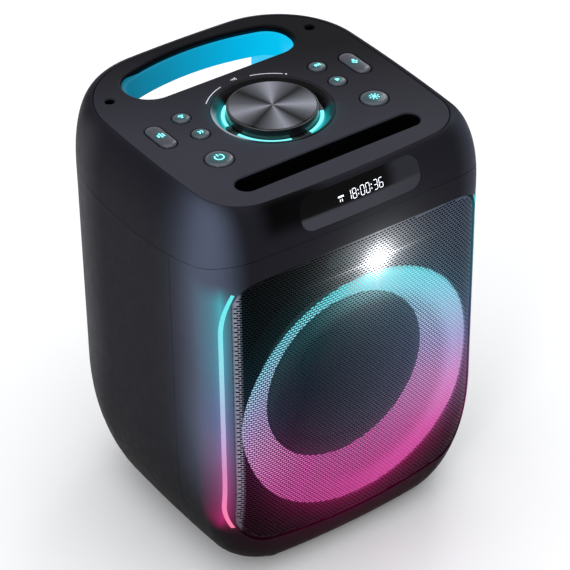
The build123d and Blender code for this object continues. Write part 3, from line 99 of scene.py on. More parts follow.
class Look:
    """A material made of nodes around one Principled shader."""

    def __init__(self, name):
        self.material = bpy.data.materials.new(name)
        self.material.use_nodes = True
        self.tree = self.material.node_tree
        self.tree.nodes.clear()
        self.shader = self.add("ShaderNodeBsdfPrincipled")
        output = self.add("ShaderNodeOutputMaterial")
        self.tree.links.new(self.shader.outputs[0], output.inputs[0])
        self.place = self.add("ShaderNodeTexCoord").outputs["Object"]
        split = self.add("ShaderNodeSeparateXYZ")
        self.tree.links.new(self.place, split.inputs[0])
        self.x, self.y, self.z = split.outputs

    def add(self, kind, **settings):
        node = self.tree.nodes.new(kind)
        for key, value in settings.items():
            setattr(node, key, value)
        return node

    def feed(self, socket, value):
        if isinstance(value, bpy.types.NodeSocket):
            self.tree.links.new(value, socket)
        else:
            socket.default_value = value

    def set(self, **values):
        for key, value in values.items():
            self.feed(self.shader.inputs[key.replace("_", " ")], value)
        return self

    def math(self, operation, *values, clamp=False):
        node = self.add("ShaderNodeMath", operation=operation, use_clamp=clamp)
        for socket, value in zip(node.inputs, values):
            self.feed(socket, value)
        return node.outputs[0]

    def map(self, value, low, high, to_low=0.0, to_high=1.0, smooth=True):
        kind = "SMOOTHSTEP" if smooth else "LINEAR"
        node = self.add("ShaderNodeMapRange", interpolation_type=kind)
        for socket, given in zip(node.inputs, (value, low, high, to_low, to_high)):
            self.feed(socket, given)
        return node.outputs[0]

    def noise(self, scale, detail=2.0, stretch=(1, 1, 1)):
        place = self.place
        if stretch != (1, 1, 1):
            mapping = self.add("ShaderNodeMapping")
            self.tree.links.new(self.place, mapping.inputs["Vector"])
            mapping.inputs["Scale"].default_value = stretch
            place = mapping.outputs[0]
        node = self.add("ShaderNodeTexNoise")
        self.tree.links.new(place, node.inputs["Vector"])
        node.inputs["Scale"].default_value = scale
        node.inputs["Detail"].default_value = detail
        return node.outputs["Fac"]

    def mix(self, share, first, second, blend="MIX"):
        node = self.add("ShaderNodeMix", data_type="RGBA", blend_type=blend)
        self.feed(node.inputs[0], share)
        self.feed(node.inputs[6], first)
        self.feed(node.inputs[7], second)
        return node.outputs[2]

    def ramp(self, value, stops, low, high):
        """A colour ramp over value from low to high."""
        share = self.map(value, low, high, smooth=False)
        node = self.add("ShaderNodeValToRGB")
        self.tree.links.new(share, node.inputs[0])
        marks = sorted(((place - low) / (high - low), colour) for place, colour in stops)
        elements = node.color_ramp.elements
        elements[0].position, elements[0].color = marks[0]
        elements[1].position, elements[1].color = marks[-1]
        for place, colour in marks[1:-1]:
            elements.new(place).color = colour
        return node.outputs[0]

    def bump(self, height, strength, distance):
        node = self.add("ShaderNodeBump")
        node.inputs["Strength"].default_value = strength
        node.inputs["Distance"].default_value = distance
        self.tree.links.new(height, node.inputs["Height"])
        self.tree.links.new(node.outputs[0], self.shader.inputs["Normal"])
        return self

    def radius(self, x, y, across, up):
        """Distance from the axis that passes through (x, y) of two coordinates."""
        dx = self.math("SUBTRACT", across, x)
        dy = self.math("SUBTRACT", up, y)
        squares = self.math("MULTIPLY", dx, dx), self.math("MULTIPLY", dy, dy)
        return self.math("SQRT", self.math("ADD", *squares))

    def fall(self, distance, width):
        """1 at zero distance, falling off exponentially over width."""
        near = self.math("MAXIMUM", distance, 0.0)
        return self.math("EXPONENT", self.math("DIVIDE", near, -width))

    def bell(self, distance, width):
        share = self.math("DIVIDE", distance, width)
        return self.math("EXPONENT", self.math("MULTIPLY", self.math("MULTIPLY", share, share), -1.0))


def height_colour(look):
    return look.ramp(look.z, HEIGHT_STOPS, 0.05, 0.30)


def spill_colour(look):
    return look.ramp(look.z, SPILL_STOPS, 0.05, 0.30)


def strip_halo(look, width):
    """How much light from the two side strips lands on a surface beside them."""
    side = look.math("ABSOLUTE", look.math("SUBTRACT", look.math("ABSOLUTE", look.x), STRIP_X))
    within = look.math(
        "MULTIPLY",
        look.map(look.z, STRIP_LOW - 0.010, STRIP_LOW + 0.012),
        look.map(look.z, STRIP_HIGH + 0.010, STRIP_HIGH - 0.012),
    )
    front = look.map(look.y, -0.080, -0.100)
    return look.math("MULTIPLY", look.math("MULTIPLY", look.fall(side, width), within), front)


def flare_cloud(look, width):
    """The strobe's soft light on a surface round it."""
    front = look.map(look.y, -0.095, -0.110)
    return look.math("MULTIPLY", look.fall(look.radius(*FLARE, look.x, look.z), width), front)


def scaled(look, colour, strength):
    node = look.add("ShaderNodeVectorMath", operation="SCALE")
    look.feed(node.inputs[0], colour)
    look.feed(node.inputs["Scale"], strength)
    return node.outputs[0]


def summed(look, first, second):
    node = look.add("ShaderNodeVectorMath", operation="ADD")
    look.feed(node.inputs[0], first)
    look.feed(node.inputs[1], second)
    return node.outputs[0]


def body_plastic(name):
    """Charcoal plastic with a fine moulded grain, with painted shade (near black low down, a dark band under
    the panel's front edge), painted highlights (the front corners, the rear of the left side, paler at the
    back and on the right) and the light of the strips, the ring and the strobe painted on as a glow.
    """
    look = Look(name)
    cloud = look.noise(9.0, 3.0)
    low = look.map(look.z, 0.020, 0.125)
    # Mask of the painted highlight on the front-left corner.
    left = look.math(
        "MULTIPLY", look.map(look.x, -0.096, -0.117), look.bell(look.math("ADD", look.y, 0.099), 0.030)
    )
    # Mask of the painted highlight on the front-right corner, mixed in at half strength below.
    right = look.math("MULTIPLY", look.map(look.x, 0.085, 0.110), look.map(look.y, -0.080, -0.110))
    # Painted shade: near black low down, charcoal above.
    tone = look.mix(low, linear(2, 2, 3), linear(27, 27, 33))
    # Painted light: paler towards the back and on the right side.
    tone = look.mix(look.map(look.y, 0.088, 0.122), tone, linear(46, 46, 52))
    tone = look.mix(look.map(look.x, 0.112, 0.124), tone, linear(40, 40, 46))
    # Painted highlight: a grey sheen on the rear of the left side, above the lower part.
    rear = look.math("MULTIPLY", look.map(look.x, -0.110, -0.124), look.map(look.y, 0.030, 0.065))
    tone = look.mix(look.math("MULTIPLY", rear, look.map(look.z, 0.05, 0.16)), tone, linear(58, 58, 62))
    # Painted highlight: a bluish sheen on the front-left corner, above the lower part.
    tone = look.mix(look.math("MULTIPLY", left, look.map(look.z, 0.05, 0.16)), tone, linear(80, 87, 106))
    # Painted shade: a near black band under the panel's front edge, left of the window.
    brow_shade = look.math("MULTIPLY", look.map(look.x, -0.092, -0.072), look.map(look.x, -0.020, -0.045))
    brow_shade = look.math("MULTIPLY", brow_shade, look.map(look.z, 0.316, 0.332))
    tone = look.mix(look.math("MULTIPLY", brow_shade, look.map(look.y, -0.09, -0.11)), tone, linear(3, 3, 4))
    tone = look.mix(look.math("MULTIPLY", right, 0.5), tone, linear(70, 74, 88))
    tone = look.mix(look.map(cloud, 0.35, 0.65, 0.0, 0.15), tone, linear(20, 20, 26))
    look.set(Base_Color=tone, Roughness=look.map(look.noise(140.0, 3.0), 0.3, 0.7, 0.40, 0.47))
    look.shader.inputs["Specular IOR Level"].default_value = 0.02
    look.bump(look.noise(2600.0, 2.0), 0.10, 0.00012)
    # Painted glow: the light of the strips, the ring and the strobe painted on the shell as emission.
    near = look.math("MULTIPLY", strip_halo(look, 0.0036), 0.95)
    wide = look.math("MULTIPLY", strip_halo(look, 0.013), 0.10)
    ring = look.math("SUBTRACT", look.radius(0.0, RING_Z, look.x, look.z), RING_OUTER)
    wash = look.math("MULTIPLY", look.fall(ring, 0.018), look.map(look.z, 0.11, 0.04, 0.0, 0.22))
    wash = look.math("MULTIPLY", wash, look.map(look.y, -0.080, -0.105))
    coloured = scaled(look, spill_colour(look), look.math("ADD", look.math("ADD", near, wide), wash))
    white = scaled(look, (0.90, 0.93, 1.0), look.math("MULTIPLY", flare_cloud(look, 0.015), 0.34))
    look.set(Emission_Color=summed(look, coloured, white))
    look.shader.inputs["Emission Strength"].default_value = 1.0
    return look.material


def satin(name, tone, rough, specular=0.5, grain=0.08):
    look = Look(name)
    cloud = look.noise(40.0, 3.0)
    look.set(
        Base_Color=look.mix(cloud, [c * 0.85 for c in tone[:3]] + [1], [c * 1.15 for c in tone[:3]] + [1]),
        Roughness=look.map(look.noise(300.0, 2.0), 0.3, 0.7, rough - 0.03, rough + 0.03),
        Specular_IOR_Level=specular,
    )
    look.bump(look.noise(1800.0), grain, 0.0001)
    return look.material


def metal(name, tone, rough, stretch=(1, 1, 1)):
    look = Look(name)
    streak = look.noise(900.0, 3.0, stretch)
    look.set(
        Base_Color=look.mix(streak, [c * 0.8 for c in tone[:3]] + [1], tone),
        Roughness=look.map(streak, 0.3, 0.7, rough - 0.06, rough + 0.06),
        Metallic=1.0,
    )
    look.bump(streak, 0.05, 0.00005)
    return look.material


def knob_angle(look):
    """The angle round the knob in degrees, 0 to 360."""
    across = look.math("SUBTRACT", look.x, KNOB_CENTRE[0])
    along = look.math("SUBTRACT", look.y, KNOB_CENTRE[1])
    turn = look.math("MULTIPLY", look.math("ARCTAN2", along, across), 180 / math.pi)
    return look.math("MODULO", look.math("ADD", turn, 360.0), 360.0)


def lit_arcs(look, soft):
    """1 at the angles of the three lit arcs round the knob, fading over soft degrees past their ends."""
    degrees = knob_angle(look)
    lit = 0.0
    for start, end in ARCS:
        arc_ = look.math(
            "MULTIPLY", look.map(degrees, start - soft, start + 1), look.map(degrees, end + soft, end - 1)
        )
        lit = look.math("ADD", arc_, lit)
    return lit


def arc_spill(look, width):
    """The arcs' light on a surface beside them."""
    out = look.math("ABSOLUTE", look.math("SUBTRACT", look.radius(*KNOB_CENTRE, look.x, look.y), ARC_RADIUS))
    return look.math("MULTIPLY", lit_arcs(look, 9.0), look.fall(look.math("SUBTRACT", out, ARC_HALF), width))


def top_plastic():
    """The control panel: satin charcoal with painted shade, near black down inside the phone slot and the
    screw holes, painted light paler towards the front-left, and the arcs' light painted on as a glow.
    """
    look = Look("top_panel_plastic")
    # Mask of painted shade: near black wherever the surface lies below the panel's top.
    deep = look.map(look.z, PANEL_Z - 0.0016, PANEL_Z - 0.0003)
    # Painted light: paler at the front-left, falling to dark at the back-right.
    slope = look.math("ADD", look.math("MULTIPLY", look.x, 0.62), look.y)
    shade = look.map(slope, -0.060, 0.095, smooth=False)
    pale = look.mix(shade, linear(49, 49, 58), linear(7, 7, 10))
    pale = look.mix(look.map(look.noise(14.0, 3.0), 0.35, 0.65, 0.0, 0.15), pale, linear(28, 28, 34))
    look.set(
        Base_Color=look.mix(deep, linear(4, 4, 6), pale),
        Roughness=look.map(look.noise(200.0, 3.0), 0.3, 0.7, 0.40, 0.46),
        # Painted glow: the arcs' light on the panel beside them.
        Emission_Color=linear(12, 120, 128),
        Emission_Strength=look.math("MULTIPLY", arc_spill(look, 0.0034), 1.3),
    )
    look.shader.inputs["Specular IOR Level"].default_value = 0.04
    look.bump(look.noise(2400.0, 2.0), 0.07, 0.0001)
    return look.material


def grille_metal():
    """Painted steel mesh with painted light and shade: a bluish painted highlight towards +X, near black
    towards -X, painted shade tinted purple low down, a bright painted highlight on the left rim, and the
    light of the ring, the strips and the strobe painted on as a glow.
    """
    look = Look("grille_paint")
    fleck = look.noise(1500.0, 2.0)
    # Painted light and shade: near black towards -X, a bluish painted highlight towards +X.
    side = look.map(look.math("ADD", look.x, look.math("MULTIPLY", look.z, -0.30)), -0.105, 0.0, smooth=False)
    tone = look.mix(side, linear(2, 3, 5), linear(82, 92, 112))
    # Painted shade, tinted purple, low down.
    tone = look.mix(look.map(look.z, 0.125, 0.060, 0.0, 0.92), tone, linear(9, 4, 9))
    # Painted highlight: a bright band along the folded left rim, stronger higher up.
    rim = look.math("MULTIPLY", look.map(look.x, -0.1030, -0.1060), look.map(look.x, -0.1108, -0.1080))
    rim = look.math("MULTIPLY", rim, look.map(look.z, 0.05, 0.13, 0.35, 1.0))
    tone = look.mix(rim, tone, linear(140, 138, 154))
    tone = look.mix(look.map(fleck, 0.4, 0.6, 0.0, 0.3), tone, linear(12, 14, 18))
    look.set(Base_Color=tone, Roughness=look.map(fleck, 0.3, 0.7, 0.34, 0.44))
    look.shader.inputs["Specular IOR Level"].default_value = 0.04
    # Painted glow: the ring's light as a halo round it and across its band, stronger low down and towards +X,
    # and the strips' light beside them.
    radius = look.radius(0.0, RING_Z, look.x, look.z)
    outside = look.math("SUBTRACT", radius, RING_OUTER)
    inside = look.math("SUBTRACT", RING_INNER, radius)
    low = look.map(look.z, 0.24, 0.06, 0.30, 1.0)
    halo = look.math("MULTIPLY", look.fall(outside, 0.014), look.fall(inside, 0.030))
    halo = look.math("MULTIPLY", look.math("MULTIPLY", halo, low), look.map(look.x, -0.10, 0.03, 0.45, 1.0))
    band = look.math("MULTIPLY", look.map(outside, 0.002, -0.004), look.map(inside, 0.0, -0.018))
    right = look.map(look.x, -0.06, 0.04, 0.05, 0.52)
    spill = look.math(
        "ADD", look.math("MULTIPLY", halo, 0.55), look.math("MULTIPLY", strip_halo(look, 0.0045), 0.45)
    )
    # Painted glow of the strobe on the mesh: a bright core, a soft cloud and a cross of streaks.
    reach = look.radius(*FLARE, look.x, look.z)
    across = look.math("ABSOLUTE", look.math("SUBTRACT", look.x, FLARE[0]))
    up = look.math("ABSOLUTE", look.math("SUBTRACT", look.z, FLARE[1]))
    core = look.math(
        "ADD", look.math("MULTIPLY", look.bell(reach, 0.0052), 6.0),
        look.math("MULTIPLY", look.bell(reach, 0.0105), 2.0),
    )
    cloud = look.math("MULTIPLY", look.fall(reach, 0.0135), 1.9)
    streak = look.math(
        "MULTIPLY", look.math("MULTIPLY", look.fall(across, 0.010), look.fall(up, 0.0013)), 4.0
    )
    ray = look.math("MULTIPLY", look.math("MULTIPLY", look.fall(up, 0.007), look.fall(across, 0.0013)), 2.5)
    flare = look.math("ADD", look.math("ADD", core, cloud), look.math("ADD", streak, ray))
    coloured = summed(
        look, scaled(look, spill_colour(look), spill),
        scaled(look, height_colour(look), look.math("MULTIPLY", band, right)),
    )
    look.set(Emission_Color=summed(look, coloured, scaled(look, (0.93, 0.95, 1.0), flare)))
    look.shader.inputs["Emission Strength"].default_value = 1.0
    look.bump(fleck, 0.06, 0.00005)
    return look.material


def ring_light():
    """The milky funnel behind the grille: its colour runs from teal at the top to magenta below."""
    look = Look("ring_glow")
    speck = look.noise(420.0, 2.0)
    strength = look.math("MULTIPLY", look.map(speck, 0.2, 0.8, 0.93, 1.07), 1.55)
    look.set(
        Base_Color=look.mix(speck, linear(20, 20, 24), linear(30, 30, 36)), Roughness=0.4,
        Emission_Color=height_colour(look), Emission_Strength=strength,
    )
    return look.material


def strip_light():
    look = Look("strip_glow")
    colours = (
        (0.275, linear(88, 232, 236)), (0.220, linear(136, 218, 230)), (0.180, linear(164, 184, 216)),
        (0.150, linear(186, 164, 212)), (0.115, linear(212, 126, 184)), (0.065, linear(250, 112, 162)),
    )
    tint = look.ramp(look.z, colours, 0.05, 0.30)
    speck = look.map(look.noise(500.0), 0.3, 0.7, 0.96, 1.04)
    look.set(Base_Color=linear(30, 30, 34), Roughness=0.35, Emission_Color=tint, Emission_Strength=speck)
    return look.material


# Painted highlights on the knob's face: at each angle in degrees, how far its tone goes from dark towards
# pale.
RAYS = (
    (0.0, 0.22), (14.0, 0.0), (40.0, 0.34), (61.0, 1.0), (84.0, 0.34), (109.0, 0.0), (140.0, 0.30),
    (168.0, 0.95), (188.0, 0.34), (209.0, 0.0), (232.0, 0.34), (253.0, 0.90), (267.0, 0.30), (280.0, 0.0),
    (304.0, 0.34),
    (327.0, 1.0), (345.0, 0.50), (360.0, 0.22),
)


def spun_metal():
    """The knob's face, turned on a lathe: its grooves run round, and its rays of light and dark are painted
    highlights and painted shade set by angle.
    """
    look = Look("knob_spun_metal")
    radius = look.radius(*KNOB_CENTRE, look.x, look.y)
    groove = look.add("ShaderNodeTexNoise", noise_dimensions="1D")
    look.feed(groove.inputs["W"], look.math("MULTIPLY", radius, 4200.0))
    groove.inputs["Scale"].default_value = 1.0
    groove.inputs["Detail"].default_value = 4.0
    dark, pale = linear(10, 9, 13), linear(164, 166, 178)
    shades = [
        (angle, [d + (p - d) * share for d, p in zip(dark[:3], pale[:3])] + [1]) for angle, share in RAYS
    ]
    tone = look.ramp(knob_angle(look), shades, 0.0, 360.0)
    look.set(
        Base_Color=look.mix(look.map(groove.outputs["Fac"], 0.3, 0.7, 0.0, 0.30, smooth=False), tone, dark),
        Roughness=look.map(groove.outputs["Fac"], 0.3, 0.7, 0.30, 0.38),
        Metallic=1.0,
    )
    look.bump(groove.outputs["Fac"], 0.04, 0.00003)
    return look.material


def halo_light():
    """The clear ring in the knob's dish: three lit arcs with dark gaps between them."""
    look = Look("knob_arc_glow")
    lit = lit_arcs(look, 1.0)
    radius = look.math(
        "ABSOLUTE", look.math("SUBTRACT", look.radius(*KNOB_CENTRE, look.x, look.y), ARC_RADIUS)
    )
    core = look.map(radius, ARC_HALF * 1.05, ARC_HALF * 0.6)
    tint = look.mix(core, linear(30, 175, 182), linear(132, 246, 246))
    dim = look.math("MULTIPLY", lit_arcs(look, 12.0), 0.05)
    look.set(
        Base_Color=linear(10, 12, 14), Roughness=0.25, Emission_Color=tint,
        Emission_Strength=look.math("ADD", look.math("MULTIPLY", lit, 1.15), dim),
    )
    return look.material


def well_gloss():
    """Polished black dish, with the arcs' light painted on its floor and slope as a glow, and a pale painted
    reflection on the left of its outer slope.
    """
    look = Look("well_gloss")
    degrees = knob_angle(look)
    radius = look.radius(*KNOB_CENTRE, look.x, look.y)
    # Painted reflection: pale on the outer slope at the dish's left.
    sheen = look.math("MULTIPLY", look.map(degrees, 135, 165), look.map(degrees, 222, 196))
    sheen = look.math("MULTIPLY", sheen, look.map(radius, 0.0405, 0.0430))
    tone = look.mix(look.noise(60.0), linear(7, 7, 9), linear(13, 13, 16))
    look.set(
        Base_Color=look.mix(sheen, tone, linear(150, 150, 160)),
        Roughness=look.map(look.noise(500.0), 0.3, 0.7, 0.16, 0.24),
        # Painted glow: the arcs' light on the dish beside them.
        Emission_Color=linear(24, 168, 176),
        Emission_Strength=look.math("MULTIPLY", arc_spill(look, 0.0026), 0.9),
    )
    look.shader.inputs["Specular IOR Level"].default_value = 0.12
    return look.material


def liner_blue():
    """The hand opening's liner: semi-gloss, lit cyan, brightest towards +X."""
    look = Look("liner_blue")
    tint = look.ramp(
        look.x, ((-0.075, linear(20, 92, 110)), (-0.02, linear(14, 136, 166)), (0.04, linear(0, 178, 222)),
                 (0.075, linear(0, 200, 245))), -0.08, 0.08,
    )
    look.set(
        Base_Color=look.mix(look.noise(30.0, 3.0), linear(4, 60, 84), linear(6, 72, 98)),
        Roughness=look.map(look.noise(60.0), 0.3, 0.7, 0.36, 0.44),
        Emission_Color=tint, Emission_Strength=look.map(look.noise(12.0), 0.3, 0.7, 0.84, 0.92),
    )
    look.shader.inputs["Specular IOR Level"].default_value = 0.3
    look.bump(look.noise(1500.0), 0.05, 0.0001)
    return look.material


def window_black():
    """The display's smoked window: black along its upper half, turning grey towards +X, with a paler sheen
    below; the grey and the sheen are painted reflections.
    """
    look = Look("display_smoke")
    # Painted reflections: a pale sheen low on the window, weaker towards +X, and grey on the upper half
    # towards +X.
    low = look.map(look.z, PANEL_Z - 0.0165, PANEL_Z - 0.0195)
    fade = look.map(look.x, 0.010, 0.050, 1.0, 0.6)
    upper = look.mix(look.map(look.x, 0.020, 0.036), linear(2, 2, 3), linear(40, 40, 47))
    tone = look.mix(look.math("MULTIPLY", low, fade), upper, linear(60, 60, 68))
    look.set(Base_Color=tone, Roughness=look.map(look.noise(300.0), 0.3, 0.7, 0.12, 0.18))
    look.shader.inputs["Specular IOR Level"].default_value = 0.08
    return look.material


def button_gloss(name, place, width):
    """A domed key: dark gloss with a painted highlight that makes it paler towards its rim, and a painted
    teal glow around its lit mark.
    """
    look = Look(name)
    radius = look.radius(place[0], place[1], look.x, look.y)
    # Painted glow round the mark at the key's middle, and a painted highlight paler towards the rim.
    near = look.bell(radius, width * 0.26)
    rim = look.map(radius, width * 0.24, width * 0.48)
    tone = look.mix(rim, linear(28, 30, 37), linear(58, 60, 70))
    tone = look.mix(look.map(look.noise(30.0), 0.35, 0.65, 0.0, 0.12), tone, linear(30, 30, 36))
    look.set(
        Base_Color=tone, Roughness=look.map(look.noise(60.0), 0.3, 0.7, 0.22, 0.26),
        Emission_Color=linear(40, 150, 160), Emission_Strength=look.math("MULTIPLY", near, 0.50),
    )
    look.shader.inputs["Specular IOR Level"].default_value = 0.30
    look.shader.inputs["Coat Weight"].default_value = 0.15
    look.shader.inputs["Coat Roughness"].default_value = 0.10
    return look.material


def glow(name, tint, strength):
    look = Look(name)
    speck = look.map(look.noise(900.0), 0.3, 0.7, strength * 0.93, strength * 1.07)
    look.set(Base_Color=tint, Roughness=0.4, Emission_Color=tint, Emission_Strength=speck)
    return look.material


def circuit_board(name, first, second, joint, specular):
    look = Look(name)
    trace = look.add("ShaderNodeTexBrick")
    look.feed(trace.inputs["Vector"], look.place)
    trace.inputs["Scale"].default_value = 260.0
    trace.inputs["Color1"].default_value = first
    trace.inputs["Color2"].default_value = second
    trace.inputs["Mortar"].default_value = joint
    look.set(Base_Color=trace.outputs["Color"], Roughness=0.35)
    look.bump(trace.outputs["Fac"], 0.1, 0.0001)
    look.shader.inputs["Specular IOR Level"].default_value = specular
    return look.material


def woven(name, tone):
    look = Look(name)
    wave = look.add("ShaderNodeTexWave", wave_type="BANDS", bands_direction="DIAGONAL")
    look.feed(wave.inputs["Vector"], look.place)
    wave.inputs["Scale"].default_value = 900.0
    look.set(
        Base_Color=look.mix(wave.outputs["Fac"], [c * 0.6 for c in tone[:3]] + [1], tone), Roughness=0.85,
    )
    look.bump(wave.outputs["Fac"], 0.4, 0.0002)
    return look.material


def paint(material, *names):
    for name in names:
        mesh = NODES[name].data
        mesh.materials.clear()
        mesh.materials.append(material)


def piece(name, mesh, material, body):
    obj = bpy.data.objects.new(name, mesh)
    bpy.context.scene.collection.objects.link(obj)
    mesh.materials.append(material)
    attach(obj, body)
    return obj


def mesh_from(build, name, smooth=True):
    mesh = bpy.data.meshes.new(name)
    build.normal_update()
    build.to_mesh(mesh)
    build.free()
    for face in mesh.polygons:
        face.use_smooth = smooth
    return mesh


# ------------------------------------------------------------ materials on CAD
BODY = body_plastic("body_charcoal")
paint(BODY, "top_shell", "front_shell", "rear_shell")
paint(top_plastic(), "top_panel")
paint(liner_blue(), "handle_liner")
paint(well_gloss(), "knob_well")
paint(halo_light(), "knob_light_ring")
paint(satin("knob_black", linear(20, 20, 22), 0.2, 0.6, 0.02), "volume_knob")
paint(spun_metal(), "knob_disc")
paint(strip_light(), "left_light_strip", "right_light_strip")
paint(window_black(), "display_window")
paint(satin("baffle_black", linear(1, 1, 2), 0.8, 0.02), "baffle")
paint(satin("inner_black", linear(8, 8, 10), 0.5, 0.1),
      "battery_tray", "main_board_pillars", "button_switches")
paint(satin("port_black", linear(20, 20, 23), 0.42), "bass_port_tube", "rear_socket_panel")
paint(satin("socket_black", linear(12, 12, 13), 0.35), "microphone_sockets", "aux_socket", "power_inlet")
paint(metal("plated_steel", linear(176, 176, 180), 0.28),
      "encoder_body", "encoder_shaft", "control_board_screws", "woofer_screws", "foot_screws",
      "woofer_top_plate", "woofer_pole_piece", "usb_socket")
paint(metal("black_screws", linear(52, 52, 56), 0.35), "panel_screws", "socket_panel_screws")
paint(metal("reflector_bright", linear(70, 72, 76), 0.25), "strobe_reflector")
paint(glow("strobe_white", linear(190, 196, 205), 0.55), "strobe_leds")
paint(satin("strobe_smoke", linear(20, 23, 28), 0.2, 0.2, 0.01), "strobe_lens")
paint(satin("basket_paint", linear(22, 22, 24), 0.4), "woofer_basket")
paint(satin("cone_paper", linear(30, 30, 34), 0.7, 0.3, 0.35), "woofer_cone", "woofer_dust_cap")
paint(satin("rubber_black", linear(20, 20, 21), 0.75, 0.3, 0.2), "woofer_surround", "rubber_feet")
paint(woven("spider_cloth", linear(196, 150, 70)), "woofer_spider")
paint(metal("copper_winding", linear(204, 120, 66), 0.35, (1, 30, 1)), "voice_coil")
paint(satin("ferrite_grey", linear(60, 60, 64), 0.6), "woofer_magnet")
GREEN_MASK = (linear(16, 60, 36), linear(20, 74, 44), linear(34, 96, 58))
BLACK_MASK = (linear(1, 1, 2), linear(2, 2, 3), linear(4, 4, 5))
paint(circuit_board("green_board", *GREEN_MASK, 0.5), "control_board", "main_board", "socket_board")
paint(circuit_board("black_board", *BLACK_MASK, 0.02),
      "light_ring_board", "strip_led_boards", "display_module")
paint(satin("cell_wrap", linear(40, 96, 150), 0.3), "battery_cells")
paint(metal("sink_anodised", linear(150, 152, 158), 0.4, (1, 12, 1)), "amplifier_heat_sink")

# -------------------------------------------------------------- the grille
PITCH_X = 0.0034
PITCH_Z = 0.0021
SLOT_HALF = 0.00140
SLOT_RISE = 0.00070
GRILLE_MARGIN = 0.0012
GRILLE_SKIN = 0.00035
GRILLE_FLANGE = 0.006
GRILLE_CENTRE = Vector((0.0, RING_Z))

front_tree = BVHTree.FromObject(NODES["front_grille"], bpy.context.evaluated_depsgraph_get())


def on_grille(x, z):
    """The point of the grille's outer face in front of (x, z), or None outside its outline."""
    return front_tree.ray_cast(Vector((x, -0.3, z)), Vector((0, 1, 0)), 0.25)[0]


def edge_point(x, z):
    """(x, z) moved towards the grille's middle until it is on the grille."""
    start = Vector((x, z))
    low, high = 0.0, 0.2
    for _ in range(14):
        middle = (low + high) / 2
        trial = start.lerp(GRILLE_CENTRE, middle)
        if on_grille(*trial):
            high = middle
        else:
            low = middle
    return on_grille(*start.lerp(GRILLE_CENTRE, high))


def perforated_grille():
    low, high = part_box("front_grille")
    build = bmesh.new()
    points = {}
    slots = set()

    def corner(x, z):
        key = (round(x * 1e6), round(z * 1e6))
        if key not in points:
            place = on_grille(x, z)
            inside = place is not None
            points[key] = (build.verts.new(place if inside else edge_point(x, z)), inside)
        return points[key]

    rows = int((high.z - low.z) / PITCH_Z) + 2
    columns = int((high.x - low.x) / PITCH_X) + 2
    for row in range(rows):
        z0 = low.z - PITCH_Z / 2 + row * PITCH_Z
        z1 = z0 + PITCH_Z
        for column in range(-1, columns):
            x0 = -columns * PITCH_X / 2 + (column + 0.5 * (row % 2)) * PITCH_X
            x1 = x0 + PITCH_X
            middle = (x0 + x1) / 2
            outline = [(x0, z0), (middle, z0), (x1, z0), (x1, z1), (middle, z1), (x0, z1)]
            if not any(on_grille(x, z) for x, z in outline):
                continue
            ring = [corner(x, z) for x, z in outline]
            verts = [v for v, _ in ring]
            grown = [
                (x + math.copysign(GRILLE_MARGIN, x), z + math.copysign(GRILLE_MARGIN, z - RING_Z))
                for x, z in outline
            ]
            if not all(inside for _, inside in ring) or not all(on_grille(x, z) for x, z in grown):
                seen = []
                for vert in verts:
                    if not seen or (vert.co - seen[-1].co).length > 1e-5:
                        seen.append(vert)
                if len(seen) > 2 and (seen[0].co - seen[-1].co).length > 1e-5:
                    build.faces.new(seen)
                continue
            centre = (z0 + z1) / 2
            hole = [
                build.verts.new(on_grille(middle + dx, centre + dz))
                for dx, dz in (
                    (-SLOT_HALF, -SLOT_RISE), (SLOT_HALF, -SLOT_RISE),
                    (SLOT_HALF, SLOT_RISE), (-SLOT_HALF, SLOT_RISE),
                )
            ]
            slots.update(hole)
            low_left, low_right, high_right, high_left = hole
            sw, s, se, ne, n, nw = verts
            build.faces.new((sw, s, se, low_right, low_left))
            build.faces.new((se, ne, high_right, low_right))
            build.faces.new((ne, n, nw, high_left, high_right))
            build.faces.new((nw, sw, low_left, high_left))
    return build, slots


build, slots = perforated_grille()
outer = [edge for edge in build.edges if len(edge.link_faces) == 1 and not slots.issuperset(edge.verts)]
folded = bmesh.ops.extrude_edge_only(build, edges=outer)
for element in folded["geom"]:
    if isinstance(element, bmesh.types.BMVert):
        element.co.y += GRILLE_FLANGE
grille = piece(
    "perforated_grille", mesh_from(build, "perforated_grille"), grille_metal(), "cabinet"
)
thick = grille.modifiers.new("skin", "SOLIDIFY")
thick.thickness = GRILLE_SKIN
thick.offset = -1.0
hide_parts("front_grille")

# ----------------------------------------------------------- the light ring
RING_TURNS = 128
RING_STEPS = 8
RING_BACK_Y = -0.1015
RING_GAP = 0.0022
RING_SKIN = 0.0015
RING_CURVE = 1.25


def ring_funnel():
    """The milky funnel: its outer rim runs just behind the grille, and its inner rim is round the cone."""
    build = bmesh.new()
    loops = []
    for step in range(RING_STEPS + 1):
        share = step / RING_STEPS
        radius = RING_INNER + (RING_OUTER - RING_INNER) * share
        loop = []
        for turn in range(RING_TURNS):
            angle = math.tau * turn / RING_TURNS
            x, z = radius * math.cos(angle), radius * math.sin(angle)
            rim = on_grille(RING_OUTER * math.cos(angle), RING_Z + RING_OUTER * math.sin(angle)).y + RING_GAP
            y = RING_BACK_Y + (rim - RING_BACK_Y) * share ** RING_CURVE
            loop.append(build.verts.new((x, y, RING_Z + z)))
        loops.append(loop)
    for inner, outer_loop in zip(loops, loops[1:]):
        for i in range(RING_TURNS):
            j = (i + 1) % RING_TURNS
            build.faces.new((inner[i], inner[j], outer_loop[j], outer_loop[i]))
    return build


ring = piece(
    "ring_funnel", mesh_from(ring_funnel(), "ring_funnel"), ring_light(), "cabinet"
)
wall = ring.modifiers.new("skin", "SOLIDIFY")
wall.thickness = RING_SKIN
wall.offset = -1.0
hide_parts("light_ring_diffuser")

# -------------------------------------------------------------------- keys
ARC_STEPS = 20
DOME_STEPS = 9
SKIRT_Z = 0.3408
DOME_EDGE_Z = 0.3446
DOME_RISE = 0.0020


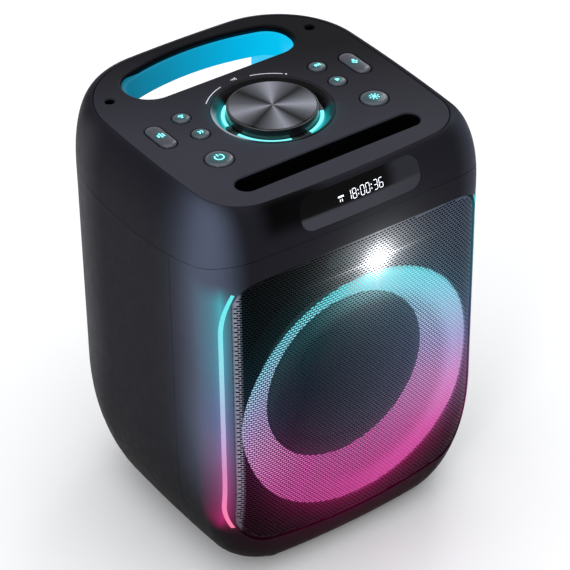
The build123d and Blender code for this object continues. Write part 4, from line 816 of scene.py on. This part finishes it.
def stadium(width, length, inset):
    """A round or pill outline, long along Y, moved in by inset."""
    radius = max(width / 2 - inset, 0.0)
    half = (length - width) / 2
    points = []
    for end, start in ((1, 0), (-1, math.pi)):
        for step in range(ARC_STEPS + 1):
            angle = start + math.pi * step / ARC_STEPS
            points.append((radius * math.cos(angle), end * half + radius * math.sin(angle)))
    return points


def key_cap(name, x, y, width, length):
    """A domed key with a straight skirt that goes down through the panel."""
    build = bmesh.new()
    levels = [(0.0, SKIRT_Z), (0.0, DOME_EDGE_Z)]
    for step in range(1, DOME_STEPS + 1):
        share = step / DOME_STEPS
        inset = width / 2 * (1 - math.cos(share * math.pi / 2))
        levels.append((inset, DOME_EDGE_Z + DOME_RISE * math.sin(share * math.pi / 2) ** 0.8))
    rings = []
    for inset, z in levels:
        rings.append([build.verts.new((x + px, y + py, z)) for px, py in stadium(width, length, inset)])
    for lower, upper in zip(rings, rings[1:]):
        for i in range(len(lower)):
            j = (i + 1) % len(lower)
            build.faces.new((lower[i], lower[j], upper[j], upper[i]))
    build.faces.new(list(reversed(rings[0])))
    bmesh.ops.remove_doubles(build, verts=build.verts, dist=1e-6)
    bmesh.ops.recalc_face_normals(build, faces=build.faces)
    return mesh_from(build, name)


def ribbon(build, points, width, lift, closed=False):
    """A flat stroke along points, each placed on the surface that lift(x, y) gives."""
    count = len(points)
    rails = []
    for i, (x, y) in enumerate(points):
        before = points[i - 1] if closed or i else points[i]
        after = points[(i + 1) % count] if closed or i + 1 < count else points[i]
        along = Vector((after[0] - before[0], after[1] - before[1])).normalized()
        side = Vector((-along.y, along.x)) * width / 2
        rails.append([build.verts.new(lift(x + s * side.x, y + s * side.y)) for s in (-1, 0, 1)])
    for i in range(count if closed else count - 1):
        a, b = rails[i], rails[(i + 1) % count]
        for k in (0, 1):
            build.faces.new((a[k], b[k], b[k + 1], a[k + 1]))


def disc(build, x, y, radius, lift, sides=16, rings=3):
    centre = build.verts.new(lift(x, y))
    loops = []
    for ring in range(1, rings + 1):
        r = radius * ring / rings
        loops.append([
            build.verts.new(
                lift(x + r * math.cos(math.tau * i / sides), y + r * math.sin(math.tau * i / sides))
            )
            for i in range(sides)
        ])
    for i in range(sides):
        j = (i + 1) % sides
        build.faces.new((centre, loops[0][i], loops[0][j]))
        for inner, outer_loop in zip(loops, loops[1:]):
            build.faces.new((inner[i], outer_loop[i], outer_loop[j], inner[j]))


def arc(x, y, radius, start, end, steps=24):
    return [
        (x + radius * math.cos(math.radians(start + (end - start) * i / steps)),
         y + radius * math.sin(math.radians(start + (end - start) * i / steps)))
        for i in range(steps + 1)
    ]


def line(a, b, steps=8):
    return [(a[0] + (b[0] - a[0]) * i / steps, a[1] + (b[1] - a[1]) * i / steps) for i in range(steps + 1)]


def mark_power(build, x, y, lift):
    ribbon(build, arc(x, y, 0.0034, -238, 58, 36), 0.0009, lift)
    ribbon(build, line((x, y + 0.0012), (x, y + 0.0042)), 0.0009, lift)


def mark_light(build, x, y, lift):
    disc(build, x, y, 0.0017, lift)
    for i in range(8):
        angle = math.tau * i / 8
        c, s = math.cos(angle), math.sin(angle)
        ray = line((x + 0.0025 * c, y + 0.0025 * s), (x + 0.0041 * c, y + 0.0041 * s), 4)
        ribbon(build, ray, 0.0008, lift)


def mark_mode(build, x, y, lift):
    for dx in (-0.0016, 0.0006):
        tip = (x + dx + 0.0014, y)
        points = line((x + dx, y + 0.0018), tip, 5) + line(tip, (x + dx, y - 0.0018), 5)[1:]
        ribbon(build, points, 0.0007, lift)


def mark_pairing(build, x, y, lift):
    disc(build, x, y - 0.0015, 0.0007, lift)
    for radius in (0.0018, 0.0032):
        ribbon(build, arc(x, y - 0.0015, radius, 45, 135, 12), 0.0007, lift)


def mark_play(build, x, y, lift):
    for k in range(6):
        dx = -0.0012 + 0.0005 * k
        half = 0.0019 * (1 - k / 6)
        ribbon(build, line((x + dx, y - half), (x + dx, y + half), 6), 0.00052, lift)


def mark_skip(build, x, y, lift):
    for shift in (-0.0018, 0.0004):
        for k in range(4):
            dx = shift + 0.0005 * k
            half = 0.0016 * (1 - k / 4)
            ribbon(build, line((x + dx, y - half), (x + dx, y + half), 6), 0.00052, lift)
    ribbon(build, line((x + 0.0026, y - 0.0016), (x + 0.0026, y + 0.0016), 6), 0.0006, lift)


def mark_bass(build, x, y, lift):
    for dx, half in ((-0.0022, 0.0016), (0.0, 0.0030), (0.0022, 0.0022)):
        ribbon(build, line((x + dx, y - half), (x + dx, y + half), 8), 0.0011, lift)


def mark_voice(build, x, y, lift):
    ribbon(build, line((x, y + 0.0004), (x, y + 0.0034), 8), 0.0020, lift)
    ribbon(build, arc(x, y + 0.0008, 0.0021, 180, 360, 16), 0.0007, lift)
    ribbon(build, line((x, y - 0.0013), (x, y - 0.0030), 5), 0.0007, lift)


MARKS = {
    "power": mark_power, "light": mark_light, "mode": mark_mode, "pairing": mark_pairing,
    "play": mark_play, "skip": mark_skip, "bass": mark_bass, "voice": mark_voice,
}
MARK_LIFT = 0.00006
ABOVE_Z = 0.36
mark_glow = glow("mark_glow", linear(120, 245, 248), 1.15)
for name, (x, y, width, length) in BUTTONS.items():
    cap = piece(
        f"{name}_cap", key_cap(name, x, y, width, length), button_gloss(f"{name}_gloss", (x, y), width),
        f"{name}_key",
    )
    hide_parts(f"{name}_button")
    bpy.context.view_layer.update()
    tree = BVHTree.FromObject(cap, bpy.context.evaluated_depsgraph_get())

    def lift(px, py, tree=tree):
        place = tree.ray_cast(Vector((px, py, ABOVE_Z)), Vector((0, 0, -1)))[0]
        return place + Vector((0, 0, MARK_LIFT))

    build = bmesh.new()
    MARKS[name](build, x, y, lift)
    bmesh.ops.recalc_face_normals(build, faces=build.faces)
    piece(f"{name}_mark", mesh_from(build, f"{name}_mark"), mark_glow, f"{name}_key")

# ------------------------------------------------------- marks on the panel
PRINT_LIFT = 0.00005
PRINT_WIDTH = 0.0007
LEVEL_BARS_Y = 0.0400
LEVEL_BARS = ((-0.0022, 0.0005), (-0.0008, 0.0009), (0.0006, 0.0013), (0.0020, 0.0017))
build = bmesh.new()


def flat(px, py):
    return Vector((px, py, PANEL_Z + PRINT_LIFT))


ribbon(build, arc(*KNOB_CENTRE, 0.0500, 106, 136, 24), PRINT_WIDTH, flat)
ribbon(build, arc(*KNOB_CENTRE, 0.0502, 46, 75, 24), PRINT_WIDTH, flat)
disc(build, 0.0366, 0.0228, 0.0008, flat)
for dx, half in LEVEL_BARS:
    ribbon(build, line((dx, LEVEL_BARS_Y - half), (dx, LEVEL_BARS_Y + half), 2), PRINT_WIDTH, flat)
bmesh.ops.recalc_face_normals(build, faces=build.faces)
piece(
    "panel_marks", mesh_from(build, "panel_marks"), glow("mark_print", linear(190, 190, 196), 0.35),
    "cabinet",
)

# ---------------------------------------------------------------- display
DIGIT_HEIGHT = 0.0070
DIGIT_WIDTH = 0.0031
DIGIT_STEP = 0.0047
COLON_STEP = 0.0024
STROKE = 0.00048
DIGITS_X = -0.0125
DIGITS_Z = 0.3323
CLOCK = "18:00:36"
DIGIT_LIFT = 0.00008
AHEAD_Y = -0.3
SEGMENTS = {
    "0": "abcdef", "1": "bc", "3": "abcdg", "6": "acdefg", "8": "abcdefg",
}
window_tree = BVHTree.FromObject(NODES["display_window"], bpy.context.evaluated_depsgraph_get())


def on_window(px, pz):
    place = window_tree.ray_cast(Vector((px, AHEAD_Y, pz)), Vector((0, 1, 0)))[0]
    return place + Vector((0, -DIGIT_LIFT, 0))


def digit(build, figure, x, z):
    top, bottom, middle = z + DIGIT_HEIGHT / 2, z - DIGIT_HEIGHT / 2, z
    right = x + DIGIT_WIDTH
    gap = STROKE * 0.65
    bars = {
        "a": ((x + gap, top), (right - gap, top)), "d": ((x + gap, bottom), (right - gap, bottom)),
        "g": ((x + gap, middle), (right - gap, middle)),
        "f": ((x, middle + gap), (x, top - gap)), "b": ((right, middle + gap), (right, top - gap)),
        "e": ((x, bottom + gap), (x, middle - gap)), "c": ((right, bottom + gap), (right, middle - gap)),
    }
    for bar in SEGMENTS[figure]:
        ribbon(build, line(*bars[bar], 5), STROKE, on_window)


build = bmesh.new()
pen = DIGITS_X
for figure in CLOCK:
    if figure == ":":
        for dz in (-0.0014, 0.0014):
            dot = line((pen - 0.0002, DIGITS_Z + dz), (pen + 0.0006, DIGITS_Z + dz), 2)
            ribbon(build, dot, 0.0009, on_window)
        pen += COLON_STEP
    else:
        digit(build, figure, pen, DIGITS_Z)
        pen += DIGIT_STEP
ribbon(build, line((-0.0205, DIGITS_Z + 0.0014), (-0.0155, DIGITS_Z + 0.0014), 6), 0.0012, on_window)
for px in (-0.0190, -0.0172):
    ribbon(build, line((px, DIGITS_Z - 0.0005), (px, DIGITS_Z - 0.0022), 3), 0.0007, on_window)
bmesh.ops.recalc_face_normals(build, faces=build.faces)
piece(
    "display_digits", mesh_from(build, "display_digits"), glow("digit_white", (0.86, 0.89, 0.95, 1), 1.0),
    "cabinet",
)

# ------------------------------------------------------------------ stage
FLOOR = 6.0
plane = bpy.data.meshes.new("floor")
FLOOR_CORNERS = [(-FLOOR, -FLOOR, 0), (FLOOR, -FLOOR, 0), (FLOOR, FLOOR, 0), (-FLOOR, FLOOR, 0)]
plane.from_pydata(FLOOR_CORNERS, [], [(0, 1, 2, 3)])
floor = bpy.data.objects.new("floor", plane)
bpy.context.scene.collection.objects.link(floor)
floor_look = Look("floor_pale")
floor_tone = floor_look.mix(floor_look.noise(3.0), linear(246, 246, 247), linear(250, 250, 250))
floor_look.set(Base_Color=floor_tone, Roughness=0.75)
floor_look.shader.inputs["Specular IOR Level"].default_value = 0.1
plane.materials.append(floor_look.material)


def soft_light(name, place, size, power):
    """A rectangular area light, aimed at the speaker's middle; power in watts."""
    data = bpy.data.lights.new(name, "AREA")
    data.shape = "RECTANGLE"
    data.size, data.size_y = size
    data.energy = power
    obj = bpy.data.objects.new(name, data)
    bpy.context.scene.collection.objects.link(obj)
    obj.location = place
    obj.rotation_euler = (MIDDLE - Vector(place)).to_track_quat("-Z", "Y").to_euler()


MIDDLE = Vector((0, 0, 0.18))
LIGHTS = (
    ("key", (-1.45, -1.10, 1.05), (0.5, 1.0), 9),
    ("top", (0.1, 0.2, 2.6), (2.4, 2.4), 30),
    ("rim", (1.6, 1.2, 1.5), (0.5, 1.4), 6),
)
for name, place, size, power in LIGHTS:
    soft_light(name, place, size, power)

WORLD_COLOUR = (0.93, 0.94, 0.96, 1)
WORLD_STRENGTH = 0.75
world = bpy.data.worlds.new("studio")
bpy.context.scene.world = world
world.use_nodes = True
background = world.node_tree.nodes["Background"]
background.inputs["Color"].default_value = WORLD_COLOUR
background.inputs["Strength"].default_value = WORLD_STRENGTH

# ----------------------------------------------------------------- camera
AZIMUTH = math.radians(-34.96)
ELEVATION = math.radians(36.02)
ROLL = math.radians(-0.70)
CAMERA_PLACE = (-0.9293, -1.3540, 1.3708)
LENS = 164.2
SENSOR = 36.0
level = math.cos(ELEVATION)
back = Vector((math.sin(AZIMUTH) * level, -math.cos(AZIMUTH) * level, math.sin(ELEVATION)))
right = Vector((0, 0, 1)).cross(back).normalized()
up = back.cross(right)
across = right * math.cos(ROLL) + up * math.sin(ROLL)
upright = up * math.cos(ROLL) - right * math.sin(ROLL)
camera_data = bpy.data.cameras.new("camera")
camera_data.sensor_width = SENSOR
camera_data.lens = LENS
camera = bpy.data.objects.new("camera", camera_data)
bpy.context.scene.collection.objects.link(camera)
camera.matrix_world = Matrix.Translation(CAMERA_PLACE) @ Matrix((across, upright, back)).transposed().to_4x4()
bpy.context.scene.camera = camera
bpy.context.scene.view_settings.view_transform = "Standard"
